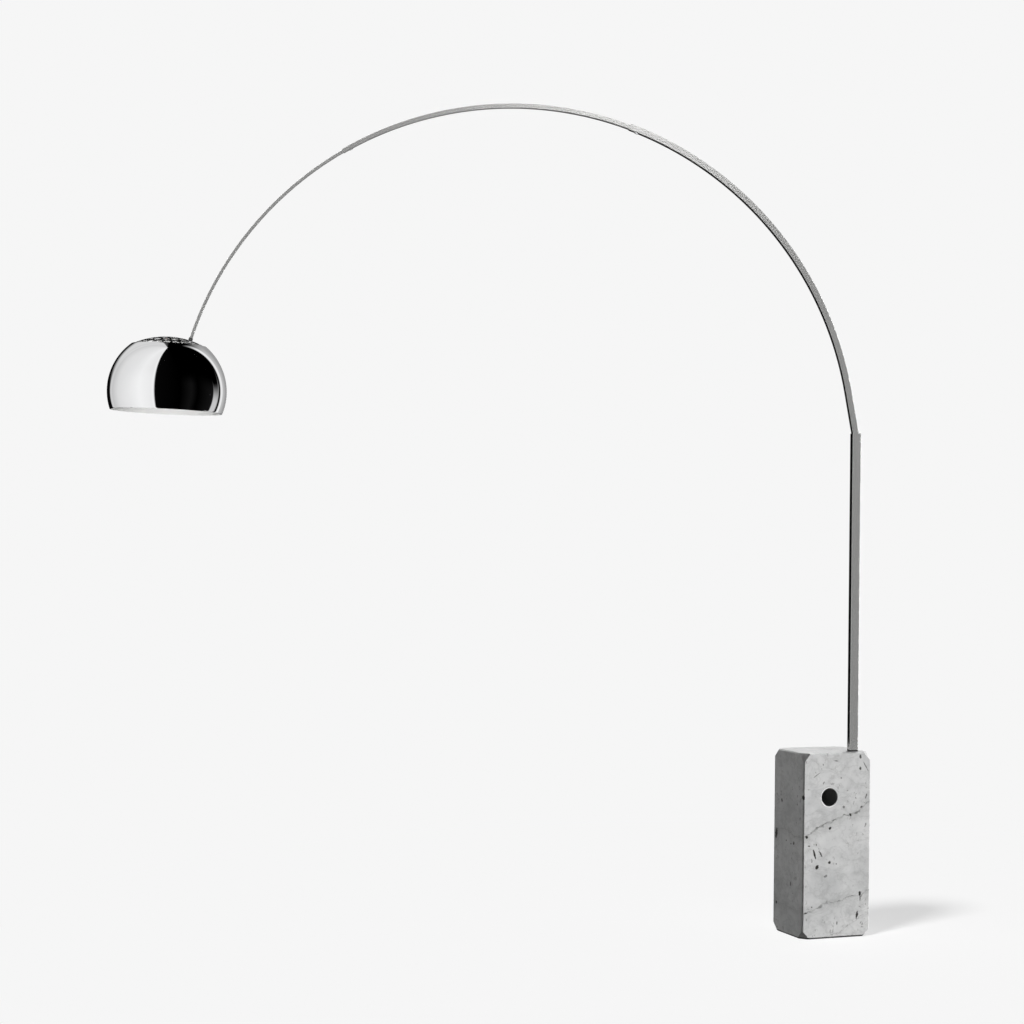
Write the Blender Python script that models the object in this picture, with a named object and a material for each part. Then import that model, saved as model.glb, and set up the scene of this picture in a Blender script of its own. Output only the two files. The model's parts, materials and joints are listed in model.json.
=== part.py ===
"""Arc floor lamp: a marble block, a steel stem, three telescoping arc channels and a domed shade.

Units are metres, +Z is up. The origin is the centre of the block's bottom face. The block is square
to the axes. The arm stands in its own upright plane, turned a little about the stem, and its parts
are placed in that plane's frame: local X runs away from the shade, local Y is the plane's normal.
"""
import math

import bmesh
import bpy
from mathutils import Matrix, Vector

MM = 0.001
GAP = 0.3 * MM              # clearance between pieces that touch

# Marble block
BASE_W = 222 * MM
BASE_D = 180 * MM
BASE_H = 537 * MM
EDGE_CHAMFER = 4 * MM
CORNER_CUT = (25 * MM, 30 * MM, 27 * MM)
LIFT_HOLE_R = 25.6 * MM
LIFT_HOLE_X = -25 * MM
LIFT_HOLE_Z = 409 * MM
LIFT_HOLE_CHAMFER = 2 * MM

# Stem and its fixing through the block
STEM_X = 72 * MM
STEM_Y = -50 * MM
ARM_TURN = math.radians(13.1)    # the arm's plane, turned clockwise from above
STEM_W = 24.5 * MM
STEM_D = 27.5 * MM
STEM_WALL = 1.5 * MM
STEM_CORNER = 1.0 * MM
STEM_TOP = 1469 * MM
GASKET_T = 4 * MM
FOOT_BLOCK_H = 60 * MM
TIE_R = 6 * MM
TIE_BORE_R = 4 * MM
ANCHOR_R = 23 * MM               # counterbore under the block
ANCHOR_H = 30 * MM
WASHER_T = 3 * MM
DUCT_R = 5 * MM
DUCT_Z = 13 * MM

# Arc channels: height across the arc's plane, depth along its normal, wall, half the slot
ARC_R = 987.2 * MM               # centreline of the lower channel
ARC_CENTRE_Z = 1407.8 * MM
LOWER = {"height": 16.8 * MM, "depth": 19.6 * MM, "wall": 1.2 * MM, "slot": 4.5 * MM}
MIDDLE = {"height": 12.0 * MM, "depth": 16.4 * MM, "wall": 1.1 * MM, "slot": 3.6 * MM}
END = {"height": 8.2 * MM, "depth": 13.4 * MM, "wall": 1.0 * MM, "slot": 2.8 * MM}
ARC_STEP = math.radians(1.5)

# Angles about the arc's centre, from the level line on the stem's side
LEAN = math.radians(10.5)        # the lower channel leaves the stem leaning this much
LOWER_MOUTH = math.radians(71.7)
MIDDLE_TAIL = math.radians(59.7)
MIDDLE_MOUTH = math.radians(121.75)
END_TAIL = math.radians(111.5)
TIP = math.radians(163.0)
SHOE_SPAN = math.radians(1.5)
CLAMP_BACK = math.radians(1.3)   # clamp screws sit this far behind each mouth

# Tang of the lower channel, inside the stem
TANG_X = -1.1 * MM
TANG_LENGTH = 100 * MM
BEND_R = 65 * MM
BEND_BELOW_TOP = 12 * MM
SLEEVE_H = 60 * MM
SLEEVE_RECESS = 4 * MM

# Shade
DOME_R = 166.5 * MM
DOME_WALL = 1.3 * MM
DOME_EDGE = math.radians(38.8)   # from the shade's axis to the dome's upper edge
DOME_RIM = math.radians(109.9)
RUN_GAP = 0.5 * MM               # between the dome, its seat ring and the cap
RING_T = 1.0 * MM
RING_EDGES = (math.radians(46), math.radians(50.5))
CAP_R = 222 * MM                 # the perforated top is flatter than the dome
CAP_TOP = 153.7 * MM             # above the dome's centre
CAP_WALL = 1.3 * MM
CAP_RIM = math.radians(56)
NIPPLE_OFFSET = 58.5 * MM        # from the shade's axis to the arm's entry
VENT_R = 9.5 * MM
# ring radius, number of vents, first vent's direction in degrees
VENT_RINGS = ((95.5 * MM, 25, 8.7), (70 * MM, 18, 4.0), (45 * MM, 12, 15.0), (20 * MM, 5, 36.0))
VENT_CLEAR = 9 * MM              # solid metal kept around the arm's entry

# Lampholder and bulb, along the nipple's axis below the cap
NIPPLE_R = 4 * MM
NIPPLE_REACH = 24 * MM
HOLDER_R = 19 * MM
BULB_R = 30 * MM
BULB_CENTRE = 118 * MM

# Worked out from the sizes above
MIDDLE_R = ARC_R - LOWER["height"] / 2 + LOWER["wall"] + GAP + MIDDLE["height"] / 2
END_R = MIDDLE_R - MIDDLE["height"] / 2 + MIDDLE["wall"] + GAP + END["height"] / 2
BEND_Z = STEM_TOP - BEND_BELOW_TOP
LEAN_RUN = (ARC_CENTRE_Z + ARC_R * math.sin(LEAN) - BEND_Z - BEND_R * math.sin(LEAN)) / math.cos(LEAN)
ARC_CENTRE_X = TANG_X - ARC_R * math.cos(LEAN) - BEND_R * (1 - math.cos(LEAN)) - LEAN_RUN * math.sin(LEAN)
STEM_FOOT = BASE_H + GAP + GASKET_T + GAP
INNER_W = STEM_W - 2 * STEM_WALL - 2 * GAP
INNER_D = STEM_D - 2 * STEM_WALL - 2 * GAP
NIPPLE_POLAR = math.asin(NIPPLE_OFFSET / CAP_R)
NIPPLE_Z = CAP_TOP - CAP_R * (1 - math.cos(NIPPLE_POLAR))
HEAD_TILT = math.pi - TIP - NIPPLE_POLAR
FLANGE_R = DOME_R - DOME_WALL - 2 * RUN_GAP - RING_T
COLLAR_FLOOR = GAP + 1.5 * MM
TIP_STANDOFF = COLLAR_FLOOR + 0.9 * MM    # the arm ends this far above the cap


# ---------------------------------------------------------------- helpers

def clear_scene():
    for obj in list(bpy.data.objects):
        bpy.data.objects.remove(obj, do_unlink=True)


def material(name, colour, roughness, metallic=0.0):
    mat = bpy.data.materials.new(name)
    mat.use_nodes = True
    shader = mat.node_tree.nodes["Principled BSDF"]
    shader.inputs["Base Color"].default_value = (*colour, 1.0)
    shader.inputs["Roughness"].default_value = roughness
    shader.inputs["Metallic"].default_value = metallic
    return mat


def frame(name, parent=None, location=(0, 0, 0), rotation=(0, 0, 0)):
    empty = bpy.data.objects.new(name, None)
    empty.location = location
    empty.rotation_euler = rotation
    empty.parent = parent
    bpy.context.scene.collection.objects.link(empty)
    return empty


def add_piece(name, bm, parent, mat, location=(0, 0, 0), rotation=(0, 0, 0)):
    """Close a bmesh into a named object, with its faces pointing out."""
    bmesh.ops.remove_doubles(bm, verts=bm.verts, dist=1e-7)
    bmesh.ops.recalc_face_normals(bm, faces=bm.faces)
    mesh = bpy.data.meshes.new(name)
    bm.to_mesh(mesh)
    bm.free()
    mesh.shade_smooth()
    mesh.set_sharp_from_angle(angle=math.radians(35))
    obj = bpy.data.objects.new(name, mesh)
    obj.location = location
    obj.rotation_euler = rotation
    obj.parent = parent
    bpy.context.scene.collection.objects.link(obj)
    if mat:
        mesh.materials.append(mat)
    return obj


def add_cutter(name, bm, parent, location=(0, 0, 0), rotation=(0, 0, 0)):
    cutter = add_piece(name, bm, parent, None, location, rotation)
    cutter.hide_render = True
    cutter.display_type = "WIRE"
    return cutter


def boolean(obj, cutter, operation="DIFFERENCE"):
    mod = obj.modifiers.new(cutter.name, "BOOLEAN")
    mod.operation = operation
    mod.solver = "EXACT"
    mod.object = cutter


def turned(profile, segments):
    """Revolve a closed loop of (radius, z) points about Z; points at radius 0 lie on the axis."""
    bm = bmesh.new()
    rings = []
    for radius, z in profile:
        if radius < 1e-9:
            rings.append([bm.verts.new((0, 0, z))] * segments)
            continue
        turns = [2 * math.pi * i / segments for i in range(segments)]
        rings.append([bm.verts.new((radius * math.cos(a), radius * math.sin(a), z)) for a in turns])
    for k, ring in enumerate(rings):
        following = rings[(k + 1) % len(rings)]
        for i in range(segments):
            j = (i + 1) % segments
            corners = []
            for vert in (ring[i], ring[j], following[j], following[i]):
                if vert not in corners:
                    corners.append(vert)
            if len(corners) > 2:
                bm.faces.new(corners)
    return bm


def cylinder(radius, z0, z1, segments=16):
    return turned([(0, z0), (radius, z0), (radius, z1), (0, z1)], segments)


def washer(inner, outer, z0, z1, segments=24):
    return turned([(inner, z0), (outer, z0), (outer, z1), (inner, z1)], segments)


def rounded_rectangle(width, depth, radius, steps=3):
    points = []
    for k, (sx, sy) in enumerate(((1, 1), (-1, 1), (-1, -1), (1, -1))):
        cx = sx * (width / 2 - radius)
        cy = sy * (depth / 2 - radius)
        for i in range(steps + 1):
            a = math.pi / 2 * (k + i / steps)
            points.append((cx + radius * math.cos(a), cy + radius * math.sin(a)))
    return points


def hole_outline(outline, radius):
    """Points on a circle, in the directions of an outline's own points."""
    points = []
    for x, y in outline:
        length = math.hypot(x, y)
        points.append((radius * x / length, radius * y / length))
    return points


def prism(outline, z0, z1):
    bm = bmesh.new()
    low = [bm.verts.new((x, y, z0)) for x, y in outline]
    high = [bm.verts.new((x, y, z1)) for x, y in outline]
    bm.faces.new(low[::-1])
    bm.faces.new(high)
    for i in range(len(outline)):
        j = (i + 1) % len(outline)
        bm.faces.new((low[i], low[j], high[j], high[i]))
    return bm


def hollow_prism(outer, inner, z0, z1):
    """A tube between two outlines with the same number of points."""
    bm = bmesh.new()
    loops = []
    for outline, z in ((outer, z0), (outer, z1), (inner, z1), (inner, z0)):
        loops.append([bm.verts.new((x, y, z)) for x, y in outline])
    for k, loop in enumerate(loops):
        following = loops[(k + 1) % 4]
        for i in range(len(outer)):
            j = (i + 1) % len(outer)
            bm.faces.new((loop[i], loop[j], following[j], following[i]))
    return bm


def plate_outline(width, depth):
    """A rectangle with points spread along its sides, for a plate with a round hole."""
    corner = math.atan2(depth, width)
    quarter = [0, corner / 2, corner, (corner + math.pi / 2) / 2]
    half = quarter + [math.pi / 2] + [math.pi - a for a in quarter[:0:-1]]
    points = []
    for a in half + [a + math.pi for a in half]:
        reach = min(width / 2 / max(abs(math.cos(a)), 1e-9), depth / 2 / max(abs(math.sin(a)), 1e-9))
        points.append((reach * math.cos(a), reach * math.sin(a)))
    return points


def hexagon_nut(across_flats, bore, z0, z1):
    outline = []
    for i in range(18):
        a = math.pi / 9 * i
        from_flat = (a + math.pi / 6) % (math.pi / 3) - math.pi / 6
        radius = across_flats / 2 / math.cos(from_flat)
        outline.append((radius * math.cos(a + math.pi / 6), radius * math.sin(a + math.pi / 6)))
    return hollow_prism(outline, hole_outline(outline, bore), z0, z1)


def box(x0, x1, y0, y1, z0, z1):
    return prism([(x0, y0), (x1, y0), (x1, y1), (x0, y1)], z0, z1)


def socket_screw(shank_r, shank_end, head_r, head_h, socket):
    """A screw along +Z: head from 0 up to head_h with a hexagon socket, shank down to shank_end."""
    bm = bmesh.new()
    turns = [math.pi / 6 * i for i in range(12)]

    def ring(radius, z, every=1):
        return [bm.verts.new((radius * math.cos(a), radius * math.sin(a), z)) for a in turns[::every]]

    rings = [ring(shank_r, shank_end), ring(shank_r, 0)]
    if head_r > shank_r:
        rings.append(ring(head_r, 0))
    rings.append(ring(head_r, head_h))
    bm.faces.new(rings[0][::-1])
    for low, high in zip(rings, rings[1:]):
        for i in range(12):
            j = (i + 1) % 12
            bm.faces.new((low[i], low[j], high[j], high[i]))
    top = rings[-1]
    brim = ring(socket, head_h, 2)
    floor = ring(socket, head_h * 0.35, 2)
    for i in range(6):
        j = (i + 1) % 6
        bm.faces.new((top[2 * i], top[2 * i + 1], top[(2 * i + 2) % 12], brim[j], brim[i]))
        bm.faces.new((brim[i], brim[j], floor[j], floor[i]))
    bm.faces.new(floor)
    return bm


def swept(section, stations):
    """Sweep a closed section of (outward, sideways) points along stations of (x, z, angle)."""
    bm = bmesh.new()
    rings = []
    for x, z, angle in stations:
        out = Vector((math.cos(angle), 0, math.sin(angle)))
        centre = Vector((x, 0, z))
        rings.append([bm.verts.new(centre + out * u + Vector((0, v, 0))) for u, v in section])
    for ring, following in zip(rings, rings[1:]):
        for i in range(len(section)):
            j = (i + 1) % len(section)
            bm.faces.new((ring[i], ring[j], following[j], following[i]))
    bm.faces.new(rings[0][::-1])
    bm.faces.new(rings[-1])
    return bm


def channel_section(size):
    """A C shape: the web is on the outer side of the arc, and the slot on its inner side."""
    half = size["height"] / 2
    side = size["depth"] / 2
    wall = size["wall"]
    slot = size["slot"]
    upper = [(-half, side), (half, side)]
    inner = [(half - wall, wall - side), (wall - half, wall - side), (wall - half, -slot), (-half, -slot)]
    outside = [(-half, -side), (half, -side)] + upper[::-1]
    inside = [(-half, slot), (wall - half, slot), (wall - half, side - wall), (half - wall, side - wall)]
    return outside + inside + inner


def arc_stations(radius, start, end):
    steps = math.ceil((end - start) / ARC_STEP)
    angles = [start + (end - start) * i / steps for i in range(steps + 1)]
    return [(radius * math.cos(a), radius * math.sin(a), a) for a in angles]


# ---------------------------------------------------------------- base

def marble_block(mat):
    bm = box(-BASE_W / 2, BASE_W / 2, -BASE_D / 2, BASE_D / 2, 0, BASE_H)
    bmesh.ops.bevel(bm, geom=list(bm.edges), offset=EDGE_CHAMFER, segments=1, affect="EDGES")
    for sx in (-1, 1):
        for sy in (-1, 1):
            for sz, z in ((-1, 0), (1, BASE_H)):
                cut_corner(bm, sx, sy, sz, Vector((sx * BASE_W / 2, sy * BASE_D / 2, z)))
    block = add_piece("marble_base", bm, None, mat)
    reach = BASE_D / 2
    flare = LIFT_HOLE_R + 2 * LIFT_HOLE_CHAMFER
    outer = reach + LIFT_HOLE_CHAMFER
    inner = reach - LIFT_HOLE_CHAMFER
    profile = [(0, -outer), (flare, -outer), (LIFT_HOLE_R, -inner)]
    profile += [(LIFT_HOLE_R, inner), (flare, outer), (0, outer)]
    place = (LIFT_HOLE_X, 0, LIFT_HOLE_Z)
    boolean(block, add_cutter("lift_hole_cutter", turned(profile, 36), None, place, (math.pi / 2, 0, 0)))
    well = [(0, -0.005), (ANCHOR_R, -0.005), (ANCHOR_R, ANCHOR_H), (TIE_R + 3 * GAP, ANCHOR_H)]
    well += [(TIE_R + 3 * GAP, BASE_H + 0.005), (0, BASE_H + 0.005)]
    boolean(block, add_cutter("tie_bore_cutter", turned(well, 24), None, (STEM_X, STEM_Y, 0)))
    duct = cylinder(DUCT_R, -reach - 0.005, STEM_Y)
    boolean(block, add_cutter("duct_cutter", duct, None, (STEM_X, 0, DUCT_Z), (math.pi / 2, 0, 0)))


def cut_corner(bm, sx, sy, sz, vertex):
    a, b, c = CORNER_CUT
    normal = Vector((sx / a, sy / b, sz / c)).normalized()
    geometry = list(bm.verts) + list(bm.edges) + list(bm.faces)
    point = vertex - Vector((sx * a, 0, 0))
    cut = bmesh.ops.bisect_plane(bm, geom=geometry, plane_co=point, plane_no=normal, clear_outer=True)
    edges = [e for e in cut["geom_cut"] if isinstance(e, bmesh.types.BMEdge)]
    bmesh.ops.edgeloop_fill(bm, edges=edges)


def cable_grommet(mat):
    """Rubber inlet at the back, in the mouth of the duct that leads to the stem."""
    neck = DUCT_R - GAP
    profile = [(3 * MM, -12 * MM), (neck, -12 * MM), (neck, GAP)]
    profile += [(8 * MM, GAP), (8 * MM, 2.3 * MM), (3 * MM, 2.3 * MM)]
    place = (STEM_X, BASE_D / 2, DUCT_Z)
    add_piece("cable_grommet", turned(profile, 16), None, mat, place, (-math.pi / 2, 0, 0))


# ---------------------------------------------------------------- stem

def stem_fixing(arm, steel, rubber):
    """Hollow tie rod from the block's underside to a steel plug in the stem's foot."""
    ceiling = ANCHOR_H - GAP
    bore = TIE_R + GAP
    add_piece("anchor_washer", washer(bore, 18 * MM, ceiling - WASHER_T, ceiling), arm, steel)
    nut_top = ceiling - WASHER_T - GAP
    add_piece("anchor_nut", hexagon_nut(19 * MM, bore, nut_top - 10 * MM, nut_top), arm, steel)
    tie_top = STEM_FOOT + FOOT_BLOCK_H - 5 * MM
    add_piece("tie_rod", washer(TIE_BORE_R, TIE_R, 12 * MM, tie_top, 20), arm, steel)
    rod_cutter = add_cutter("tie_clearance_cutter", cylinder(bore, 0.5, 0.65, 20), arm)
    pad_outline = rounded_rectangle(STEM_W + 1 * MM, STEM_D + 1 * MM, 2.5 * MM)
    pad = prism(pad_outline, BASE_H + GAP, BASE_H + GAP + GASKET_T)
    gasket = add_piece("foot_gasket", pad, arm, rubber)
    boolean(gasket, rod_cutter)
    plug = prism(rounded_rectangle(INNER_W, INNER_D, 1 * MM, 1), STEM_FOOT, STEM_FOOT + FOOT_BLOCK_H)
    block = add_piece("foot_block", plug, arm, steel)
    boolean(block, rod_cutter)
    return block


def stem(arm, block, satin, steel, plastic):
    outer = rounded_rectangle(STEM_W, STEM_D, STEM_CORNER)
    inner = rounded_rectangle(STEM_W - 2 * STEM_WALL, STEM_D - 2 * STEM_WALL, STEM_CORNER / 2)
    tube = add_piece("stem_tube", hollow_prism(outer, inner, STEM_FOOT, STEM_TOP), arm, satin)
    back = STEM_D / 2
    for number, height in enumerate((18 * MM, 42 * MM), 1):
        place = (0, back + GAP, STEM_FOOT + height)
        turn = (-math.pi / 2, 0, 0)
        drill = cylinder(2.3 * MM, -7.6 * MM, 5 * MM)
        hole = add_cutter(f"foot_screw_cutter_{number}", drill, arm, place, turn)
        boolean(tube, hole)
        boolean(block, hole)
        screw = socket_screw(2 * MM, -7.2 * MM, 3.5 * MM, 2.2 * MM, 1.5 * MM)
        add_piece(f"foot_screw_{number}", screw, arm, steel, place, turn)
    sleeve = tang_sleeve(arm, plastic)
    tang_face = TANG_X + LOWER["height"] / 2
    for number, below in enumerate((24 * MM, 48 * MM), 1):
        place = (STEM_W / 2 - 2 * MM, 0, STEM_TOP - below)
        turn = (0, math.pi / 2, 0)
        drill = cylinder(2.8 * MM, -5 * MM, 5 * MM)
        hole = add_cutter(f"tang_screw_cutter_{number}", drill, arm, place, turn)
        boolean(tube, hole)
        boolean(sleeve, hole)
        screw = socket_screw(2.5 * MM, tang_face + GAP - place[0], 2.5 * MM, 2 * MM, 1.4 * MM)
        add_piece(f"tang_screw_{number}", screw, arm, steel, place, turn)


def tang_sleeve(arm, plastic):
    """U-shaped packing that centres the tang and carries its two set screws."""
    side = LOWER["depth"] / 2 + GAP
    face = TANG_X + LOWER["height"] / 2 + GAP
    w, d = INNER_W / 2, INNER_D / 2
    outline = [(-w, -d), (w, -d), (w, d), (-w, d), (-w, side), (face, side), (face, -side), (-w, -side)]
    top = STEM_TOP - SLEEVE_RECESS
    return add_piece("tang_sleeve", prism(outline, top - SLEEVE_H, top), arm, plastic)


# ---------------------------------------------------------------- arc

def lower_arc(centre, satin):
    """Lower channel: an upright tang in the stem, a tight bend, a short straight and the long arc."""
    tang = TANG_X - ARC_CENTRE_X
    z = BEND_Z - ARC_CENTRE_Z
    stations = [(tang, z - TANG_LENGTH + BEND_BELOW_TOP, 0)]
    for i in range(5):
        a = LEAN * i / 4
        stations.append((tang - BEND_R * (1 - math.cos(a)), z + BEND_R * math.sin(a), a))
    stations += arc_stations(ARC_R, LEAN, LOWER_MOUTH)
    add_piece("arc_lower", swept(channel_section(LOWER), stations), centre, satin)


def sliding_arc(name, centre, satin, size, radius, start, end):
    add_piece(name, swept(channel_section(size), arc_stations(radius, start, end)), centre, satin)


def slide_shoe(name, centre, plastic, inner, inner_r, outer, outer_r, start):
    """Nylon shoe on a sliding channel's tail, in the gap under the outer channel's web."""
    low = inner_r + inner["height"] / 2 + GAP
    high = outer_r + outer["height"] / 2 - outer["wall"] - GAP
    middle = (low + high) / 2
    half = (high - low) / 2
    side = inner["depth"] / 2 - 2 * MM
    section = [(-half, -side), (half, -side), (half, side), (-half, side)]
    add_piece(name, swept(section, arc_stations(middle, start, start + SHOE_SPAN)), centre, plastic)


def clamp(prefix, centre, steel, outer, outer_r, inner, inner_r, mouth, shank, head, plate):
    """Screw under the slot and nut plate inside the inner channel, which pinch the lips together."""
    angle = mouth - CLAMP_BACK
    turn = (0, math.pi * 1.5 - angle, 0)
    under = outer_r - outer["height"] / 2 - GAP
    lips = inner_r - inner["height"] / 2 + inner["wall"] + GAP
    place = (under * math.cos(angle), 0, under * math.sin(angle))
    screw = socket_screw(shank, under - lips - plate + 0.4 * MM, head, 1.7 * MM, 1.6 * MM)
    add_piece(f"{prefix}_clamp_screw", screw, centre, steel, place, turn)
    seat = (lips * math.cos(angle), 0, lips * math.sin(angle))
    half_side = inner["depth"] / 2 - inner["wall"] - GAP - 0.5 * MM
    outline = plate_outline(14 * MM, 2 * half_side)
    nut = hollow_prism(outline, hole_outline(outline, shank + GAP), -plate, 0)
    add_piece(f"{prefix}_clamp_nut", nut, centre, steel, seat, turn)


# ---------------------------------------------------------------- shade

def polar_point(radius, angle):
    return (radius * math.sin(angle), radius * math.cos(angle))


def shell_profile(radius, wall, angles):
    outside = [polar_point(radius, a) for a in angles]
    inside = [polar_point(radius - wall, a) for a in reversed(angles)]
    return outside + inside


def dome(head, chrome):
    degrees = (42, 46, 50, 54, 58, 62, 70, 78, 86, 94, 102)
    angles = [DOME_EDGE] + [math.radians(a) for a in degrees] + [DOME_RIM]
    add_piece("dome", turned(shell_profile(DOME_R, DOME_WALL, angles), 60), head, chrome)


def seat_ring(head, plastic):
    start, end = RING_EDGES
    angles = [start + (end - start) * i / 2 for i in range(3)]
    radius = FLANGE_R + RUN_GAP + RING_T
    add_piece("dome_seat_ring", turned(shell_profile(radius, RING_T, angles), 60), head, plastic)


def cap_surface(depth):
    """Profile of the cap's face, depth below its outside: a flat crown, then a ball-shaped flange."""
    crown_r = CAP_R - depth
    centre = CAP_TOP - CAP_R
    flange_r = FLANGE_R - depth
    # the crown's sphere and the flange's sphere meet at this height
    height = (flange_r ** 2 - crown_r ** 2 + centre ** 2) / (2 * centre)
    meet = math.sqrt(flange_r ** 2 - height ** 2)
    points = []
    for i in range(6):
        a = math.asin(meet / crown_r) * i / 5
        points.append((crown_r * math.sin(a), centre + crown_r * math.cos(a)))
    start = math.atan2(meet, height)
    for i in (1, 2, 3):
        points.append(polar_point(flange_r, start + (CAP_RIM - start) * i / 3))
    return points


def perforated_cap(head, chrome):
    profile = cap_surface(0) + cap_surface(CAP_WALL)[::-1]
    cap = add_piece("perforated_cap", turned(profile, 60), head, chrome)
    bm = bmesh.new()
    for radius, count, first in VENT_RINGS:
        for i in range(count):
            azimuth = math.radians(first + 360 * i / count)
            x, y = radius * math.cos(azimuth), radius * math.sin(azimuth)
            if math.hypot(x - NIPPLE_OFFSET, y) < VENT_R + VENT_CLEAR:
                continue
            lean = math.asin(radius / CAP_R)
            place = Matrix.Rotation(azimuth, 4, "Z") @ Matrix.Rotation(lean, 4, "Y")
            place = Matrix.Translation((0, 0, CAP_TOP - CAP_R)) @ place @ Matrix.Translation((0, 0, CAP_R))
            length = 10 * MM
            bmesh.ops.create_cone(bm, cap_ends=True, segments=10, radius1=VENT_R, radius2=VENT_R,
                                  depth=length, matrix=place)
    vents = add_cutter("vent_cutter", bm, head)
    boolean(cap, vents)
    return cap


# ---------------------------------------------------------------- lampholder

def tip_plug(nipple, cap, steel):
    """Plug in the arm's tip, whose hollow threaded spigot carries the cap and the lampholder."""
    side = END["depth"] / 2 - END["wall"] - GAP
    thick = END["height"] / 2 - END["wall"] - 0.5 * MM
    plug = add_piece("tip_plug", cylinder(NIPPLE_R, -NIPPLE_REACH, TIP_STANDOFF - GAP, 20), nipple, steel)
    stalk = add_cutter("tip_stalk", box(-thick, thick, -side, side, COLLAR_FLOOR + GAP, 26 * MM), nipple)
    boolean(plug, stalk, "UNION")
    bore = add_cutter("lead_bore_cutter", cylinder(1.8 * MM, -NIPPLE_REACH - 0.005, 0.04, 12), nipple)
    boolean(plug, bore)
    hole = add_cutter("nipple_hole_cutter", cylinder(NIPPLE_R + GAP, -0.01, 0.01, 20), nipple)
    boolean(cap, hole)
    return hole


def tip_collar(nipple, hole, plastic):
    """Black collar that caps the arm's tip and seats it on the perforated top."""
    height = END["height"] + 2 * GAP
    depth = END["depth"] + 2 * GAP
    outline = rounded_rectangle(height + 2.4 * MM, depth + 2.4 * MM, 1.5 * MM)
    collar = add_piece("tip_collar", prism(outline, GAP, 8 * MM), nipple, plastic)
    recess = box(-height / 2, height / 2, -depth / 2, depth / 2, COLLAR_FLOOR, 10 * MM)
    boolean(collar, add_cutter("tip_recess_cutter", recess, nipple))
    boolean(collar, hole)


def lampholder(nipple, steel, plastic, brass):
    bore = NIPPLE_R + GAP
    top = -CAP_WALL - 0.45 * MM
    add_piece("head_washer", washer(bore, 9 * MM, top - 1.2 * MM, top), nipple, steel)
    nut_top = top - 1.2 * MM - GAP
    add_piece("head_nut", hexagon_nut(15 * MM, bore, nut_top - 4.5 * MM, nut_top), nipple, steel)
    lid = nut_top - 4.5 * MM - GAP
    r = HOLDER_R
    wall = 2 * MM
    seam = lid - 18 * MM
    outside = [(bore, lid), (11 * MM, lid), (r, lid - 7 * MM), (r, seam)]
    inside = [(r - wall, seam), (r - wall, lid - 8 * MM), (10 * MM, lid - wall), (bore, lid - wall)]
    add_piece("lampholder_cap", turned(outside + inside, 24), nipple, plastic)
    body_top = seam - GAP
    mouth = body_top - 45 * MM
    floor = body_top - 4 * MM
    tub = 15.8 * MM
    body = [(0, floor), (r - wall, floor), (r - wall, body_top), (r, body_top), (r, mouth)]
    body += [(tub, mouth), (tub, floor - 4 * MM), (0, floor - 4 * MM)]
    add_piece("lampholder_body", turned(body, 24), nipple, plastic)
    deck = floor - 4 * MM - GAP
    add_piece("thread_shell", washer(13.6 * MM, 14.4 * MM, deck - 25 * MM, deck), nipple, brass)
    add_piece("centre_contact", cylinder(3 * MM, deck - 2.5 * MM, deck, 12), nipple, brass)
    return deck - 2.5 * MM - GAP


def bulb(nipple, tip, brass, ceramic, glass):
    """Screw-cap bulb; tip is where its contact meets the lampholder's."""
    contact = [(0, tip), (3.5 * MM, tip), (4.5 * MM, tip - 1.4 * MM), (0, tip - 1.4 * MM)]
    add_piece("bulb_contact", turned(contact, 12), nipple, brass)
    z = tip - 1.4 * MM - GAP
    insulator = [(0, z), (5 * MM, z), (7.7 * MM, z - 1.8 * MM), (7.7 * MM, z - 2.8 * MM), (0, z - 2.8 * MM)]
    add_piece("bulb_insulator", turned(insulator, 16), nipple, ceramic)
    r = 13.2 * MM
    wall = 0.6 * MM
    shoulder = z - 5 * MM
    end = shoulder - 20 * MM
    shell = [(8 * MM, z - 2 * MM), (r, shoulder), (r, end), (r - wall, end)]
    shell += [(r - wall, shoulder - wall), (8 * MM, z - 2.8 * MM)]
    add_piece("bulb_cap", turned(shell, 24), nipple, brass)
    add_piece("bulb_glass", turned(bulb_profile(end + 9 * MM, r - wall - GAP), 24), nipple, glass)


def bulb_profile(neck_top, neck_r):
    """Glass envelope: neck, flowing shoulder and ball, 1 mm thick and open at the neck."""
    wall = 1.0 * MM
    outside = [(neck_r, neck_top), (neck_r, neck_top - 12 * MM)]
    start = outside[-1][1]
    join = math.radians(38)                  # the ball begins this far from the axis, seen from its centre
    join_r, join_z = BULB_R * math.sin(join), -BULB_CENTRE + BULB_R * math.cos(join)
    for i in range(1, 5):
        t = i / 5
        ease = t * t * (3 - 2 * t) * 0.6 + t * 0.4
        outside.append((neck_r + (join_r - neck_r) * ease, start + (join_z - start) * t))
    for i in range(9):
        a = join + (math.pi - join) * i / 8
        radius = BULB_R * math.sin(a)
        outside.append((radius if i < 8 else 0.0, -BULB_CENTRE + BULB_R * math.cos(a)))
    inside = []
    for radius, z in reversed(outside[:-1]):
        inside.append((max(radius - wall, 0), z + (wall if z < -BULB_CENTRE - BULB_R * 0.7 else 0)))
    inside[0:0] = [(0.0, outside[-1][1] + wall)]
    return outside + inside


# ---------------------------------------------------------------- assembly

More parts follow.
